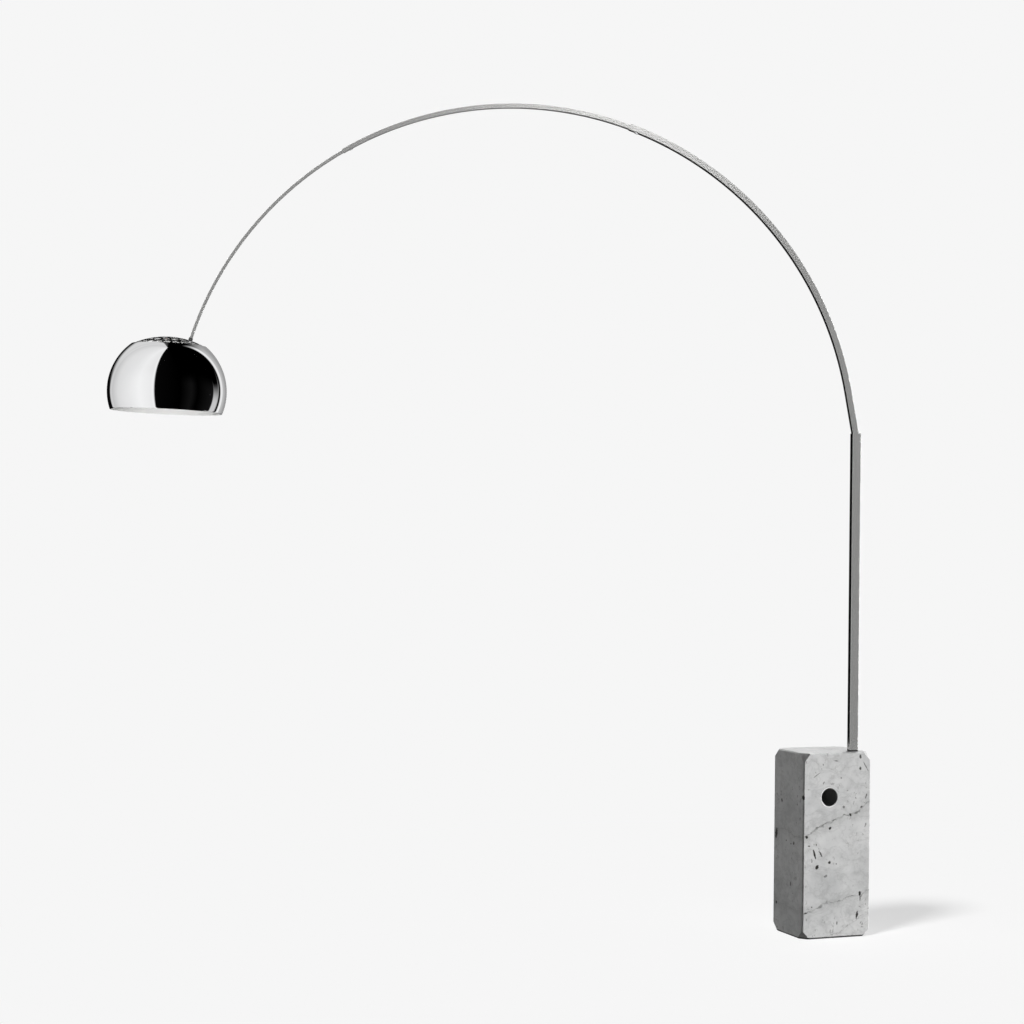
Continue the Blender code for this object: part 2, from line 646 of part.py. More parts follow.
def main():
    clear_scene()
    marble = material("marble", (0.72, 0.72, 0.71), 0.35)
    satin = material("satin_steel", (0.55, 0.55, 0.54), 0.32, 1.0)
    steel = material("plated_steel", (0.45, 0.45, 0.46), 0.35, 1.0)
    chrome = material("polished_metal", (0.75, 0.75, 0.75), 0.05, 1.0)
    plastic = material("black_plastic", (0.02, 0.02, 0.02), 0.45)
    nylon = material("white_nylon", (0.75, 0.75, 0.72), 0.5)
    rubber = material("black_rubber", (0.015, 0.015, 0.015), 0.7)
    brass = material("nickel_brass", (0.7, 0.62, 0.42), 0.3, 1.0)
    ceramic = material("black_ceramic", (0.03, 0.03, 0.03), 0.25)
    glass = material("opal_glass", (0.9, 0.9, 0.88), 0.2)

    marble_block(marble)
    cable_grommet(rubber)

    arm = frame("arm_frame", None, (STEM_X, STEM_Y, 0), (0, 0, -ARM_TURN))
    block = stem_fixing(arm, steel, rubber)
    stem(arm, block, satin, steel, plastic)

    centre = frame("arc_centre", arm, (ARC_CENTRE_X, 0, ARC_CENTRE_Z))
    lower_arc(centre, satin)
    sliding_arc("arc_middle", centre, satin, MIDDLE, MIDDLE_R, MIDDLE_TAIL, MIDDLE_MOUTH)
    tip_angle = TIP - TIP_STANDOFF / END_R
    sliding_arc("arc_end", centre, satin, END, END_R, END_TAIL, tip_angle)
    slide_shoe("middle_slide_shoe", centre, nylon, MIDDLE, MIDDLE_R, LOWER, ARC_R, MIDDLE_TAIL)
    slide_shoe("end_slide_shoe", centre, nylon, END, END_R, MIDDLE, MIDDLE_R, END_TAIL)
    clamp("middle", centre, steel, LOWER, ARC_R, MIDDLE, MIDDLE_R, LOWER_MOUTH, 2.5 * MM, 6.5 * MM, 3 * MM)
    clamp("end", centre, steel, MIDDLE, MIDDLE_R, END, END_R, MIDDLE_MOUTH, 2 * MM, 5.2 * MM, 2.4 * MM)

    # The shade's frame hangs from the arm's tip, square to the arm where the two meet
    tip = Vector((ARC_CENTRE_X + END_R * math.cos(TIP), 0, ARC_CENTRE_Z + END_R * math.sin(TIP)))
    tilt = Matrix.Rotation(HEAD_TILT, 3, "Y")
    head_place = tip - tilt @ Vector((NIPPLE_OFFSET, 0, NIPPLE_Z))
    head = frame("head_frame", arm, head_place, (0, HEAD_TILT, 0))
    nipple = frame("nipple_frame", head, (NIPPLE_OFFSET, 0, NIPPLE_Z), (0, NIPPLE_POLAR, 0))
    cap = perforated_cap(head, chrome)
    seat_ring(head, nylon)
    dome(head, chrome)
    hole = tip_plug(nipple, cap, steel)
    tip_collar(nipple, hole, plastic)
    tip_z = lampholder(nipple, steel, plastic, brass)
    bulb(nipple, tip_z, brass, ceramic, glass)


main()
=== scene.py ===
"""Looks of the arc floor lamp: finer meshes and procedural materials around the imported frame."""

import json
import math

import bmesh
import bpy
from mathutils import Matrix, Vector


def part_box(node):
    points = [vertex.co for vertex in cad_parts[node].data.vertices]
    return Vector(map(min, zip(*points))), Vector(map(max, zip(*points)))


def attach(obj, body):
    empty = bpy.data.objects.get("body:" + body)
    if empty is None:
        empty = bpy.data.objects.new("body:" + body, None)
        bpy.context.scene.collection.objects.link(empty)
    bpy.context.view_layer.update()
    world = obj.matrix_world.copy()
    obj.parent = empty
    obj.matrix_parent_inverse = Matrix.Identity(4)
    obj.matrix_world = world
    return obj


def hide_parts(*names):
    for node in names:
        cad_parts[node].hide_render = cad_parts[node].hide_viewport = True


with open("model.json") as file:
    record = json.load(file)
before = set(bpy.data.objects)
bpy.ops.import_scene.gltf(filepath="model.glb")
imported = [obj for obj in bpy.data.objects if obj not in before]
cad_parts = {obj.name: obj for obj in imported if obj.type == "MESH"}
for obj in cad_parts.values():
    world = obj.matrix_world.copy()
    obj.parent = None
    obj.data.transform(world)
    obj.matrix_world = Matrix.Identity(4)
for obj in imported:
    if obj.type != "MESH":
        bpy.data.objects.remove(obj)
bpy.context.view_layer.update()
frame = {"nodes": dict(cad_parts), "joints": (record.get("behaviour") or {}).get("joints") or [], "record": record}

MM = 0.001
GAP = 0.3 * MM

# Sizes shared with the CAD model
DOME_R = 166.5 * MM
DOME_WALL = 1.3 * MM
DOME_EDGE = math.radians(38.8)
DOME_RIM = math.radians(109.9)
CAP_R = 222 * MM
CAP_TOP = 153.7 * MM
CAP_WALL = 1.3 * MM
CAP_RIM = math.radians(56)
CROWN_EDGE = 131.5 * MM
FLANGE_R = 163.2 * MM
RING_EDGES = (math.radians(46), math.radians(50.5))
VENT_R = 9.5 * MM
VENT_RINGS = ((95.5 * MM, 25, 8.7), (70 * MM, 18, 4.0), (45 * MM, 12, 15.0), (20 * MM, 5, 36.0))
VENT_CLEAR = 9 * MM
NIPPLE_OFFSET = 58.5 * MM
NIPPLE_POLAR = math.asin(NIPPLE_OFFSET / CAP_R)
NIPPLE_R = 4 * MM
HOLDER_R = 19 * MM
BULB_R = 30 * MM
BULB_CENTRE = 118 * MM
ARC_R = 987.2 * MM
LOWER = {"height": 16.8 * MM, "depth": 19.6 * MM, "wall": 1.2 * MM, "slot": 4.5 * MM}
MIDDLE = {"height": 12.0 * MM, "depth": 16.4 * MM, "wall": 1.1 * MM, "slot": 3.6 * MM}
END = {"height": 8.2 * MM, "depth": 13.4 * MM, "wall": 1.0 * MM, "slot": 2.8 * MM}
CHANNEL_CORNER = 0.5 * MM
MIDDLE_R = ARC_R - LOWER["height"] / 2 + LOWER["wall"] + GAP + MIDDLE["height"] / 2
END_R = MIDDLE_R - MIDDLE["height"] / 2 + MIDDLE["wall"] + GAP + END["height"] / 2
LEAN = math.radians(10.5)
LOWER_MOUTH = math.radians(71.7)
MIDDLE_TAIL = math.radians(59.7)
MIDDLE_MOUTH = math.radians(121.75)
END_TAIL = math.radians(111.5)
TIP = math.radians(163.0)
TIP_STANDOFF = 2.7 * MM
HEAD_TILT = math.pi - TIP - NIPPLE_POLAR
TANG_X = -1.1 * MM
TANG_LENGTH = 100 * MM
BEND_R = 65 * MM
BEND_BELOW_TOP = 12 * MM
STEM_W = 24.5 * MM
STEM_D = 27.5 * MM
STEM_WALL = 1.5 * MM
STEM_CORNER = 1.0 * MM
BLOCK_LEFT = -111 * MM
HOLE_X = -25 * MM
HOLE_Z = 409 * MM

# What the record says of each node
PARTS = {part["node"]: part for part in frame["record"]["subparts"]}
BODY_OF = {node: body for body, nodes in frame["record"]["behaviour"]["bodies"].items() for node in nodes}

# Frames of the arm, of its arc and of the shade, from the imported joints
JOINTS = {joint["name"]: joint for joint in frame["joints"]}
SWIVEL = Vector(JOINTS["stem_swivel"]["pos_m"])
ARC_CENTRE = Vector(JOINTS["middle_telescope"]["pos_m"])
SHADE_CENTRE = Vector(JOINTS["shade_tilt_lengthwise"]["pos_m"])
NORMAL = Vector(JOINTS["shade_tilt_lengthwise"]["axis"]).normalized()
ALONG = NORMAL.cross(Vector((0, 0, 1)))
ARM_AXES = Matrix((ALONG, NORMAL, (0, 0, 1))).transposed().to_4x4()
ARM = Matrix.Translation(SWIVEL) @ ARM_AXES
ARC = Matrix.Translation(ARC_CENTRE) @ ARM_AXES
HEAD = Matrix.Translation(SHADE_CENTRE) @ ARM_AXES @ Matrix.Rotation(HEAD_TILT, 4, "Y")
NIPPLE_Z = CAP_TOP - CAP_R * (1 - math.cos(NIPPLE_POLAR))
NIPPLE = HEAD @ Matrix.Translation((NIPPLE_OFFSET, 0, NIPPLE_Z)) @ Matrix.Rotation(NIPPLE_POLAR, 4, "Y")
STEM_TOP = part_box("stem_tube")[1].z
STEM_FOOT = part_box("stem_tube")[0].z
BEND_Z = STEM_TOP - BEND_BELOW_TOP


# ---------------------------------------------------------------- camera

CAMERA_PLACE = Vector((-3.1107, -5.5526, 1.1689))
CAMERA_YAW = math.radians(20.925)
CAMERA_PITCH = math.radians(0.528)
CAMERA_ROLL = math.radians(0.669)
CAMERA_LENS = 75.09


def add_camera():
    data = bpy.data.cameras.new("camera")
    data.lens = CAMERA_LENS
    data.sensor_width = 36
    data.clip_end = 200
    camera = bpy.data.objects.new("camera", data)
    turn = Matrix.Rotation(-CAMERA_YAW, 4, "Z") @ Matrix.Rotation(math.pi / 2 + CAMERA_PITCH, 4, "X")
    roll = Matrix.Rotation(CAMERA_ROLL, 4, "Z")
    camera.matrix_world = Matrix.Translation(CAMERA_PLACE) @ turn @ roll
    bpy.context.scene.collection.objects.link(camera)
    bpy.context.scene.camera = camera


# ---------------------------------------------------------------- node helpers

class Nodes:
    """A node tree under construction: short calls that add and link nodes."""

    def __init__(self, tree):
        self.nodes = tree.nodes
        self.links = tree.links

    def add(self, kind, inputs=None, **settings):
        """Add a node; inputs maps the name or number of a socket to a value or to another socket."""
        node = self.nodes.new(kind)
        for name, value in settings.items():
            setattr(node, name, value)
        for name, value in (inputs or {}).items():
            self.feed(node.inputs[name], value)
        return node

    def feed(self, socket, value):
        if isinstance(value, bpy.types.NodeSocket):
            self.links.new(value, socket)
        else:
            socket.default_value = value

    def math(self, operation, a, b=0.0, c=0.0, clamp=False):
        node = self.add("ShaderNodeMath", {0: a, 1: b, 2: c}, operation=operation, use_clamp=clamp)
        return node.outputs[0]

    def vector(self, operation, *values):
        """Vector maths, which gives a number for LENGTH."""
        node = self.add("ShaderNodeVectorMath", dict(enumerate(values)), operation=operation)
        return node.outputs["Value" if operation == "LENGTH" else "Vector"]

    def split(self, vector):
        return self.add("ShaderNodeSeparateXYZ", {0: vector}).outputs

    def ramp(self, fac, *stops):
        """Colour ramp; each stop is (position, colour) with a grey or an RGB colour."""
        node = self.add("ShaderNodeValToRGB", {"Fac": fac})
        elements = node.color_ramp.elements
        while len(elements) < len(stops):
            elements.new(0.5)
        for element, (position, colour) in zip(elements, stops):
            element.position = position
            element.color = (*colour, 1) if isinstance(colour, tuple) else (colour, colour, colour, 1)
        return node.outputs["Color"]

    def span(self, value, low, high, start=0.0, end=1.0, kind="LINEAR"):
        """Map a range of values, 0 to 1 unless given, onto low to high."""
        inputs = {"Value": value, "From Min": start, "From Max": end, "To Min": low, "To Max": high}
        return self.add("ShaderNodeMapRange", inputs, interpolation_type=kind).outputs["Result"]

    def mix(self, fac, a, b, blend="MIX"):
        a, b = ((*value, 1) if isinstance(value, tuple) else value for value in (a, b))
        return self.add("ShaderNodeMix", {0: fac, 6: a, 7: b}, data_type="RGBA", blend_type=blend).outputs[2]


class Shader(Nodes):
    """A material under construction."""

    def __init__(self, name):
        self.mat = bpy.data.materials.new(name)
        self.mat.use_nodes = True
        super().__init__(self.mat.node_tree)
        self.bsdf = self.nodes["Principled BSDF"]
        self.object = self.add("ShaderNodeTexCoord").outputs["Object"]

    def principled(self, **values):
        for name, value in values.items():
            self.feed(self.bsdf.inputs[name.replace("_", " ")], value)
        return self.mat

    def mapped(self, scale, source=None, rotation=(0, 0, 0)):
        inputs = {"Scale": scale, "Rotation": rotation, "Vector": source or self.object}
        return self.add("ShaderNodeMapping", inputs).outputs["Vector"]

    def noise(self, scale, vector=None, detail=4.0, roughness=0.5, distortion=0.0, output="Fac"):
        inputs = {"Scale": scale, "Detail": detail, "Roughness": roughness, "Distortion": distortion,
                  "Vector": vector or self.object}
        return self.add("ShaderNodeTexNoise", inputs).outputs[output]

    def bump(self, height, strength, distance):
        inputs = {"Strength": strength, "Distance": distance, "Height": height}
        return self.add("ShaderNodeBump", inputs).outputs["Normal"]


# ---------------------------------------------------------------- materials

def satin_steel():
    """Satin stainless steel, brushed along each channel's length."""
    s = Shader("satin_steel")
    uv = s.add("ShaderNodeUVMap", uv_map="UVMap").outputs["UV"]
    fine = s.noise(1.0, s.mapped((18, 9000, 1), uv), 3.0, 0.6)
    coarse = s.noise(1.0, s.mapped((6, 1400, 1), uv), 2.0, 0.5)
    streak = s.math("ADD", s.math("MULTIPLY", fine, 0.6), s.math("MULTIPLY", coarse, 0.4))
    cloud = s.noise(9.0, detail=3.0)
    colour = s.ramp(streak, (0.3, (0.59, 0.59, 0.58)), (0.7, (0.63, 0.628, 0.62)))
    roughness = s.math("ADD", s.span(streak, 0.23, 0.27), s.span(cloud, -0.015, 0.015))
    tangent = s.add("ShaderNodeTangent", direction_type="UV_MAP", uv_map="UVMap").outputs["Tangent"]
    return s.principled(Base_Color=colour, Metallic=1.0, Roughness=roughness, Anisotropic=0.7,
                        Tangent=tangent, Normal=s.bump(streak, 0.03, 0.1 * MM))


def polished_metal():
    """Mirror-polished aluminium with faint smears and specks."""
    s = Shader("polished_metal")
    smear = s.noise(14.0, detail=5.0, roughness=0.6)
    specks = s.noise(420.0, detail=2.0)
    roughness = s.math("ADD", s.span(smear, 0.012, 0.035), s.span(specks, -0.004, 0.004))
    colour = s.ramp(smear, (0.3, (0.90, 0.905, 0.91)), (0.7, (0.93, 0.93, 0.935)))
    return s.principled(Base_Color=colour, Metallic=1.0, Roughness=roughness,
                        Normal=s.bump(specks, 0.03, 0.02 * MM))


def clouded(name, cloud, tones, roughness, grain=None, at=(0.3, 0.7), **values):
    """A finish whose tone and gloss drift with one noise, with a fine grain as bump.

    cloud is the noise's scale, detail and roughness, and at says where on it the two tones are reached.
    grain is the scale and detail of its noise, then the bump's strength and its depth in mm.
    """
    s = Shader(name)
    drift = s.noise(cloud[0], None, *cloud[1:])
    if grain:
        scale, detail, strength, depth = grain
        values["Normal"] = s.bump(s.noise(scale, detail=detail), strength, depth * MM)
    colour = s.ramp(drift, *zip(at, tones))
    return s.principled(Base_Color=colour, Roughness=s.span(drift, *roughness), **values)


def channel_shade_steel(name, tone):
    """Painted shade: dark, dull steel for the inside of a channel, in place of the shade that falls inside it."""
    tones = (tone * 0.8, tone * 1.2)
    return clouded(name, (120.0, 5.0, 0.6), tones, (0.38, 0.5), (1500.0, 2.0, 0.1, 0.04), Metallic=1.0)


def marble():
    """Honed grey-white marble: clouds, two long veins rising to the right, and dark inclusions."""
    s = Shader("marble")
    warp = s.noise(9.0, None, 6.0, 0.6, output="Color")
    flow = s.vector("MULTIPLY_ADD", warp, (0.05, 0.05, 0.05), s.object)
    clouds = s.noise(7.0, flow, 6.0, 0.6)
    mottle = s.noise(38.0, flow, 5.0, 0.65)
    stone = s.ramp(clouds, (0.3, (0.50, 0.505, 0.505)), (0.48, (0.60, 0.602, 0.60)),
                   (0.68, (0.675, 0.675, 0.67)))
    patches = s.ramp(mottle, (0.32, 0.86), (0.5, 1.0), (0.7, 1.05))
    colour = s.mix(1.0, stone, patches, "MULTIPLY")
    wisps = s.noise(16.0, s.mapped((1.0, 1.0, 1.8), flow, (0.3, 0.5, 0.2)), 6.0, 0.6, 0.8)
    colour = s.mix(0.5, colour, s.ramp(wisps, (0.455, 1.0), (0.5, 0.76), (0.545, 1.0)), "MULTIPLY")

    # a vein is dark only where the stone is broken, and faint on the block's left face
    broken = s.ramp(s.noise(46.0, detail=3.0), (0.42, 0.0), (0.60, 1.0))
    inner = s.span(s.split(s.object)["X"], 0.3, 1.0, BLOCK_LEFT + 3 * MM, BLOCK_LEFT + 13 * MM)
    for height, slope, width, strength in VEINS:
        away = vein_distance(s, warp, height, slope)
        line = s.ramp(s.math("DIVIDE", away, width), (0.0, 1.0), (1.0, 0.0))
        dark = s.math("MULTIPLY", s.span(broken, 0.35 * strength, strength), line, clamp=True)
        dark = s.math("MULTIPLY", dark, inner)
        colour = s.mix(dark, colour, (0.08, 0.08, 0.075))
        halo = s.ramp(s.math("DIVIDE", away, 9 * width), (0.0, 0.22 * strength), (1.0, 0.0))
        colour = s.mix(halo, colour, (0.33, 0.335, 0.33))
    colour = s.mix(marks(s), colour, (0.035, 0.032, 0.03))
    specks = s.noise(95.0, s.mapped((1.0, 1.0, 0.7)), 3.0, 0.6)
    where = s.ramp(s.noise(8.0, detail=2.0), (0.42, 0.0), (0.58, 1.0))
    speck = s.math("MULTIPLY", s.ramp(specks, (0.63, 0.0), (0.69, 0.8)), where)
    colour = s.mix(speck, colour, (0.14, 0.135, 0.13))
    # painted shade darkens the hole's bore and a thin line along the foot; a painted highlight lightens the hole's
    # chamfer ring
    painted_shade, painted_highlight = hole_and_foot(s)
    colour = s.mix(painted_highlight, s.mix(1.0, colour, painted_shade, "MULTIPLY"), (0.86, 0.86, 0.85))
    roughness = s.span(clouds, 0.30, 0.42)
    grain = s.noise(900.0, detail=3.0)
    pits = s.math("SUBTRACT", grain, s.math("MULTIPLY", speck, 2.0))
    return s.principled(Base_Color=colour, Roughness=roughness, Normal=s.bump(pits, 0.06, 0.00005),
                        Specular_IOR_Level=0.3)


# Veins as sheets through the block: height at its middle, rise to the right, half width, darkness
VEINS = ((0.346, 0.43, 0.0040, 1.0), (0.104, 0.237, 0.0026, 0.8), (0.018, 0.55, 0.0018, 0.5),
         (0.478, -0.5, 0.0012, 0.25))

# Dark inclusions: place, half length, half width, lean from upright in degrees, darkness
INCLUSIONS = (
    ((-0.064, -0.09, 0.208), 0.0075, 0.0036, 30, 1.0), ((-0.073, -0.09, 0.246), 0.0150, 0.0024, -16, 1.0),
    ((-0.052, -0.09, 0.245), 0.0100, 0.0020, -28, 0.9), ((-0.024, -0.09, 0.220), 0.0040, 0.0034, 0, 1.0),
    ((-0.001, -0.09, 0.215), 0.0024, 0.0020, 0, 0.7), ((-0.091, -0.09, 0.270), 0.0045, 0.0018, -80, 0.9),
    ((-0.067, -0.09, 0.273), 0.0030, 0.0018, 0, 0.7), ((-0.036, -0.09, 0.181), 0.0070, 0.0028, 60, 0.6),
    ((-0.099, -0.09, 0.296), 0.0052, 0.0036, -35, 1.0), ((-0.023, -0.09, 0.319), 0.0050, 0.0036, 40, 1.0),
    ((0.044, -0.09, 0.356), 0.0065, 0.0024, -25, 1.0), ((0.081, -0.09, 0.378), 0.0048, 0.0024, 60, 0.9),
    ((0.022, -0.09, 0.379), 0.0040, 0.0032, 0, 0.7), ((0.096, -0.09, 0.409), 0.0090, 0.0016, 20, 0.8),
    ((0.076, -0.09, 0.490), 0.0048, 0.0034, 0, 0.9), ((0.076, -0.09, 0.524), 0.0060, 0.0030, -10, 0.9),
    ((0.093, -0.09, 0.497), 0.0160, 0.0014, -32, 0.7), ((-0.004, -0.09, 0.514), 0.0070, 0.0020, -82, 0.6),
    ((-0.047, -0.09, 0.504), 0.0040, 0.0016, 0, 0.7), ((-0.068, -0.09, 0.474), 0.0120, 0.0014, 58, 0.5),
    ((0.013, -0.09, 0.464), 0.0026, 0.0024, 0, 0.6), ((0.078, -0.09, 0.126), 0.0065, 0.0034, 0, 1.0),
    ((0.079, -0.09, 0.112), 0.0070, 0.0016, 0, 0.8), ((0.069, -0.09, 0.064), 0.0110, 0.0032, 10, 1.0),
    ((0.003, -0.09, 0.043), 0.0060, 0.0016, 5, 0.8), ((-0.100, -0.09, 0.077), 0.0046, 0.0024, 80, 0.9),
    ((-0.080, -0.09, 0.093), 0.0024, 0.0018, 0, 0.8), ((0.082, -0.09, 0.041), 0.0040, 0.0014, 40, 0.6),
    ((-0.109, -0.088, 0.410), 0.0070, 0.0024, 0, 1.0), ((-0.111, 0.072, 0.288), 0.0160, 0.0060, 14, 1.0),
    ((-0.111, 0.040, 0.388), 0.0060, 0.0036, 0, 0.9), ((-0.111, -0.035, 0.272), 0.0050, 0.0034, 20, 0.9),
    ((-0.111, -0.018, 0.268), 0.0024, 0.0024, 0, 0.8), ((-0.111, 0.010, 0.274), 0.0024, 0.0030, 0, 0.7),
    ((-0.111, 0.068, 0.084), 0.0046, 0.0036, 0, 0.9), ((-0.111, -0.018, 0.152), 0.0065, 0.0026, 10, 0.8),
)


HOLE_RAMP = 50 * MM     # distance from the hole's axis where its ramps end
FOOT_RAMP = 10 * MM     # height above the floor where the foot's ramp ends


def hole_and_foot(s):
    """Painted shade in the lifting hole and along the foot, and a painted highlight on the hole's chamfer ring."""
    radius = s.vector("LENGTH", s.vector("MULTIPLY_ADD", s.object, (1, 0, 1), (-HOLE_X, 0, -HOLE_Z)))
    part = s.math("MULTIPLY", radius, 1 / HOLE_RAMP)
    # painted shade inside the hole's bore
    bore = s.ramp(part, (0.0, 0.4), (0.516, 0.4), (0.526, 1.0))
    height = s.math("MULTIPLY_ADD", s.noise(150.0), -2 * MM, s.split(s.object)["Z"])
    # painted shade: a near-black line along the foot
    foot = s.ramp(s.math("MULTIPLY", height, 1 / FOOT_RAMP), (0.0, 0.06), (0.3, 0.06), (0.5, 1.0))
    # painted highlight: a light ring on the hole's chamfer
    painted_highlight = s.ramp(part, (0.516, 0.0), (0.526, 1.0), (0.572, 1.0), (0.585, 0.0))
    return s.mix(1.0, bore, foot, "MULTIPLY"), painted_highlight


VEIN_WAVE = 0.07
VEIN_JITTER = 0.02


def vein_distance(s, warp, height, slope):
    """Distance from a wavy sheet through the block."""
    place = s.split(s.object)
    wave = s.add("ShaderNodeSeparateColor", {0: warp}).outputs[0]
    level = s.math("MULTIPLY_ADD", place["X"], -slope, place["Z"])
    jitter = s.noise(60.0, detail=5.0, roughness=0.65)
    level = s.math("MULTIPLY_ADD", wave, VEIN_WAVE, level)
    level = s.math("MULTIPLY_ADD", jitter, VEIN_JITTER, level)
    return s.math("ABSOLUTE", s.math("SUBTRACT", level, height + (VEIN_WAVE + VEIN_JITTER) / 2))


def marks(s):
    """Mask of the dark inclusions: ragged slivers, each with its own place and lean."""
    ragged = s.noise(170.0, detail=4.0, roughness=0.7)
    total = None
    for place, length, width, lean, dark in INCLUSIONS:
        on_side = place[0] < BLOCK_LEFT + 0.5 * MM
        turn = (math.radians(lean), 0, 0) if on_side else (0, math.radians(lean), 0)
        width *= 1.2    # makes up for what the ragged edge takes away
        size = (width * 4, width, length) if on_side else (width, width * 4, length)
        inputs = {"Location": place, "Rotation": turn, "Scale": size, "Vector": s.object}
        local = s.add("ShaderNodeMapping", inputs, vector_type="TEXTURE").outputs["Vector"]
        edge = s.math("MULTIPLY_ADD", ragged, 1.6, s.vector("LENGTH", local))
        mask = s.math("MULTIPLY", s.math("MULTIPLY_ADD", edge, -2.5, 4.9, clamp=True), dark)
        total = s.math("MAXIMUM", total, mask) if total else mask
    return total


WHITE_LINING = clouded("white_lining", (20.0,), ((0.86, 0.86, 0.85), (0.90, 0.90, 0.89)), (0.3, 0.42),
                       (900.0, 2.0, 0.08, 0.05))

# One material for each of the record's slots
LOOKS = {
    "satin_steel": satin_steel(),
    "polished_metal": polished_metal(),
    "marble": marble(),
    "plated_steel": clouded("plated_steel", (160.0,), ((0.50, 0.50, 0.51), (0.60, 0.60, 0.61)), (0.18, 0.32),
                            (2600.0, 2.0, 0.1, 0.03), Metallic=1.0),
    "black_plastic": clouded("black_plastic", (60.0,), (0.012, 0.022), (0.38, 0.5),
                             (1800.0, 3.0, 0.25, 0.08)),
    "white_nylon": clouded("white_nylon", (90.0,), ((0.70, 0.70, 0.67), (0.78, 0.78, 0.75)), (0.42, 0.55),
                           (1200.0, 3.0, 0.2, 0.06), Subsurface_Weight=0.1),
    "black_rubber": clouded("black_rubber", (140.0, 5.0), (0.010, 0.026), (0.6, 0.78),
                            (2500.0, 4.0, 0.35, 0.1), (0.35, 0.75)),
    "nickel_brass": clouded("nickel_brass", (220.0,), ((0.72, 0.62, 0.40), (0.80, 0.72, 0.50)), (0.16, 0.3),
                            Metallic=1.0),
    "black_ceramic": clouded("black_ceramic", (260.0,), (0.02, 0.035), (0.08, 0.16)),
    "opal_glass": clouded("opal_glass", (40.0, 3.0), ((0.88, 0.88, 0.86), (0.92, 0.92, 0.90)), (0.1, 0.18),
                          Subsurface_Weight=0.3, Coat_Weight=0.4),
}


# ---------------------------------------------------------------- mesh helpers

def new_piece(node, bm, matrix, materials=None, smooth=35):
    """A finished mesh that stands for a CAD node, on that node's body and in its slot."""
    bmesh.ops.remove_doubles(bm, verts=bm.verts, dist=1e-7)
    bmesh.ops.recalc_face_normals(bm, faces=bm.faces)
    mesh = bpy.data.meshes.new(node + "_fine")
    bm.to_mesh(mesh)
    bm.free()
    mesh.transform(matrix)
    mesh.shade_smooth()
    mesh.set_sharp_from_angle(angle=math.radians(smooth))
    slot = PARTS[node]["material_slot"]
    for mat in materials or (LOOKS[slot],):
        mesh.materials.append(mat)
    piece = bpy.data.objects.new(node + "_fine", mesh)
    bpy.context.scene.collection.objects.link(piece)
    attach(piece, BODY_OF[node])
    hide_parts(node)
    return piece


def soften(piece, width):
    mod = piece.modifiers.new("soft_edges", "BEVEL")
    mod.width = width
    mod.segments = 2
    mod.limit_method = "ANGLE"
    mod.angle_limit = math.radians(40)
    mod.miter_outer = "MITER_ARC"
    even_normals(piece)


def even_normals(piece):
    """Flat faces keep their own normal right up to a rounded edge."""
    mod = piece.modifiers.new("even_normals", "WEIGHTED_NORMAL")
    mod.mode = "FACE_AREA"
    mod.weight = 100
    mod.keep_sharp = True


def softened_copy(node, width):
    """The CAD node's own shape with its edges rounded."""
    bm = bmesh.new()
    bm.from_mesh(frame["nodes"][node].data)
    bmesh.ops.remove_doubles(bm, verts=bm.verts, dist=1e-6)
    bmesh.ops.dissolve_limit(bm, angle_limit=math.radians(0.5), verts=bm.verts, edges=bm.edges)
    piece = new_piece(node, bm, Matrix.Identity(4))
    soften(piece, width)
    return piece


def revolved(profile, segments):
    """Turn a closed loop of (radius, z) points about Z; points at radius 0 lie on the axis."""
    bm = bmesh.new()
    turns = [2 * math.pi * i / segments for i in range(segments)]
    rings = []
    for radius, z in profile:
        if radius < 1e-9:
            rings.append([bm.verts.new((0, 0, z))] * segments)
        else:
            rings.append([bm.verts.new((radius * math.cos(a), radius * math.sin(a), z)) for a in turns])
    for ring, following in zip(rings, rings[1:] + rings[:1]):
        for i in range(segments):
            j = (i + 1) % segments
            corners = []
            for vert in (ring[i], ring[j], following[j], following[i]):
                if vert not in corners:
                    corners.append(vert)
            if len(corners) > 2:
                bm.faces.new(corners)
    return bm


def rounded(points, radii, steps=4):
    """Fillet the corners of a closed polygon."""
    result = []
    count = len(points)
    for i, (point, radius) in enumerate(zip(points, radii)):
        here = Vector(point)
        before = (Vector(points[i - 1]) - here).normalized()
        after = (Vector(points[(i + 1) % count]) - here).normalized()
        half = before.angle(after) / 2
        if radius <= 0:
            result.append(tuple(here))
            continue
        reach = radius / math.tan(half)
        centre = here + (before + after).normalized() * radius / math.sin(half)
        start = here + before * reach - centre
        end = here + after * reach - centre
        sweep = start.angle_signed(end)
        for k in range(steps + 1):
            a = -sweep * k / steps
            c, s = math.cos(a), math.sin(a)
            result.append((centre.x + start.x * c - start.y * s, centre.y + start.x * s + start.y * c))
    return result


def swept(section, stations):
    """Sweep a closed section of (outward, sideways) points; UVs run along and around in metres."""
    bm = bmesh.new()
    layer = bm.loops.layers.uv.new("UVMap")
    around = [0.0]
    for i in range(len(section)):
        around.append(around[-1] + (Vector(section[(i + 1) % len(section)]) - Vector(section[i])).length)
    rings = []
    along = []
    last = None
    for x, z, angle in stations:
        centre = Vector((x, 0, z))
        out = Vector((math.cos(angle), 0, math.sin(angle)))
        along.append(along[-1] + (centre - last).length if last else 0.0)
        last = centre
        rings.append([bm.verts.new(centre + out * u + Vector((0, v, 0))) for u, v in section])
    for k in range(len(rings) - 1):
        for i in range(len(section)):
            j = (i + 1) % len(section)
            face = bm.faces.new((rings[k][i], rings[k][j], rings[k + 1][j], rings[k + 1][i]))
            corners = ((k, i), (k, i + 1), (k + 1, i + 1), (k + 1, i))
            for loop, (row, column) in zip(face.loops, corners):
                loop[layer].uv = (along[row], around[column])
    for ring, row in ((rings[0][::-1], 0), (rings[-1], len(rings) - 1)):
        face = bm.faces.new(ring)
        for loop in face.loops:
            loop[layer].uv = (along[row] + loop.vert.co.y, loop.vert.co.z)
    return bm


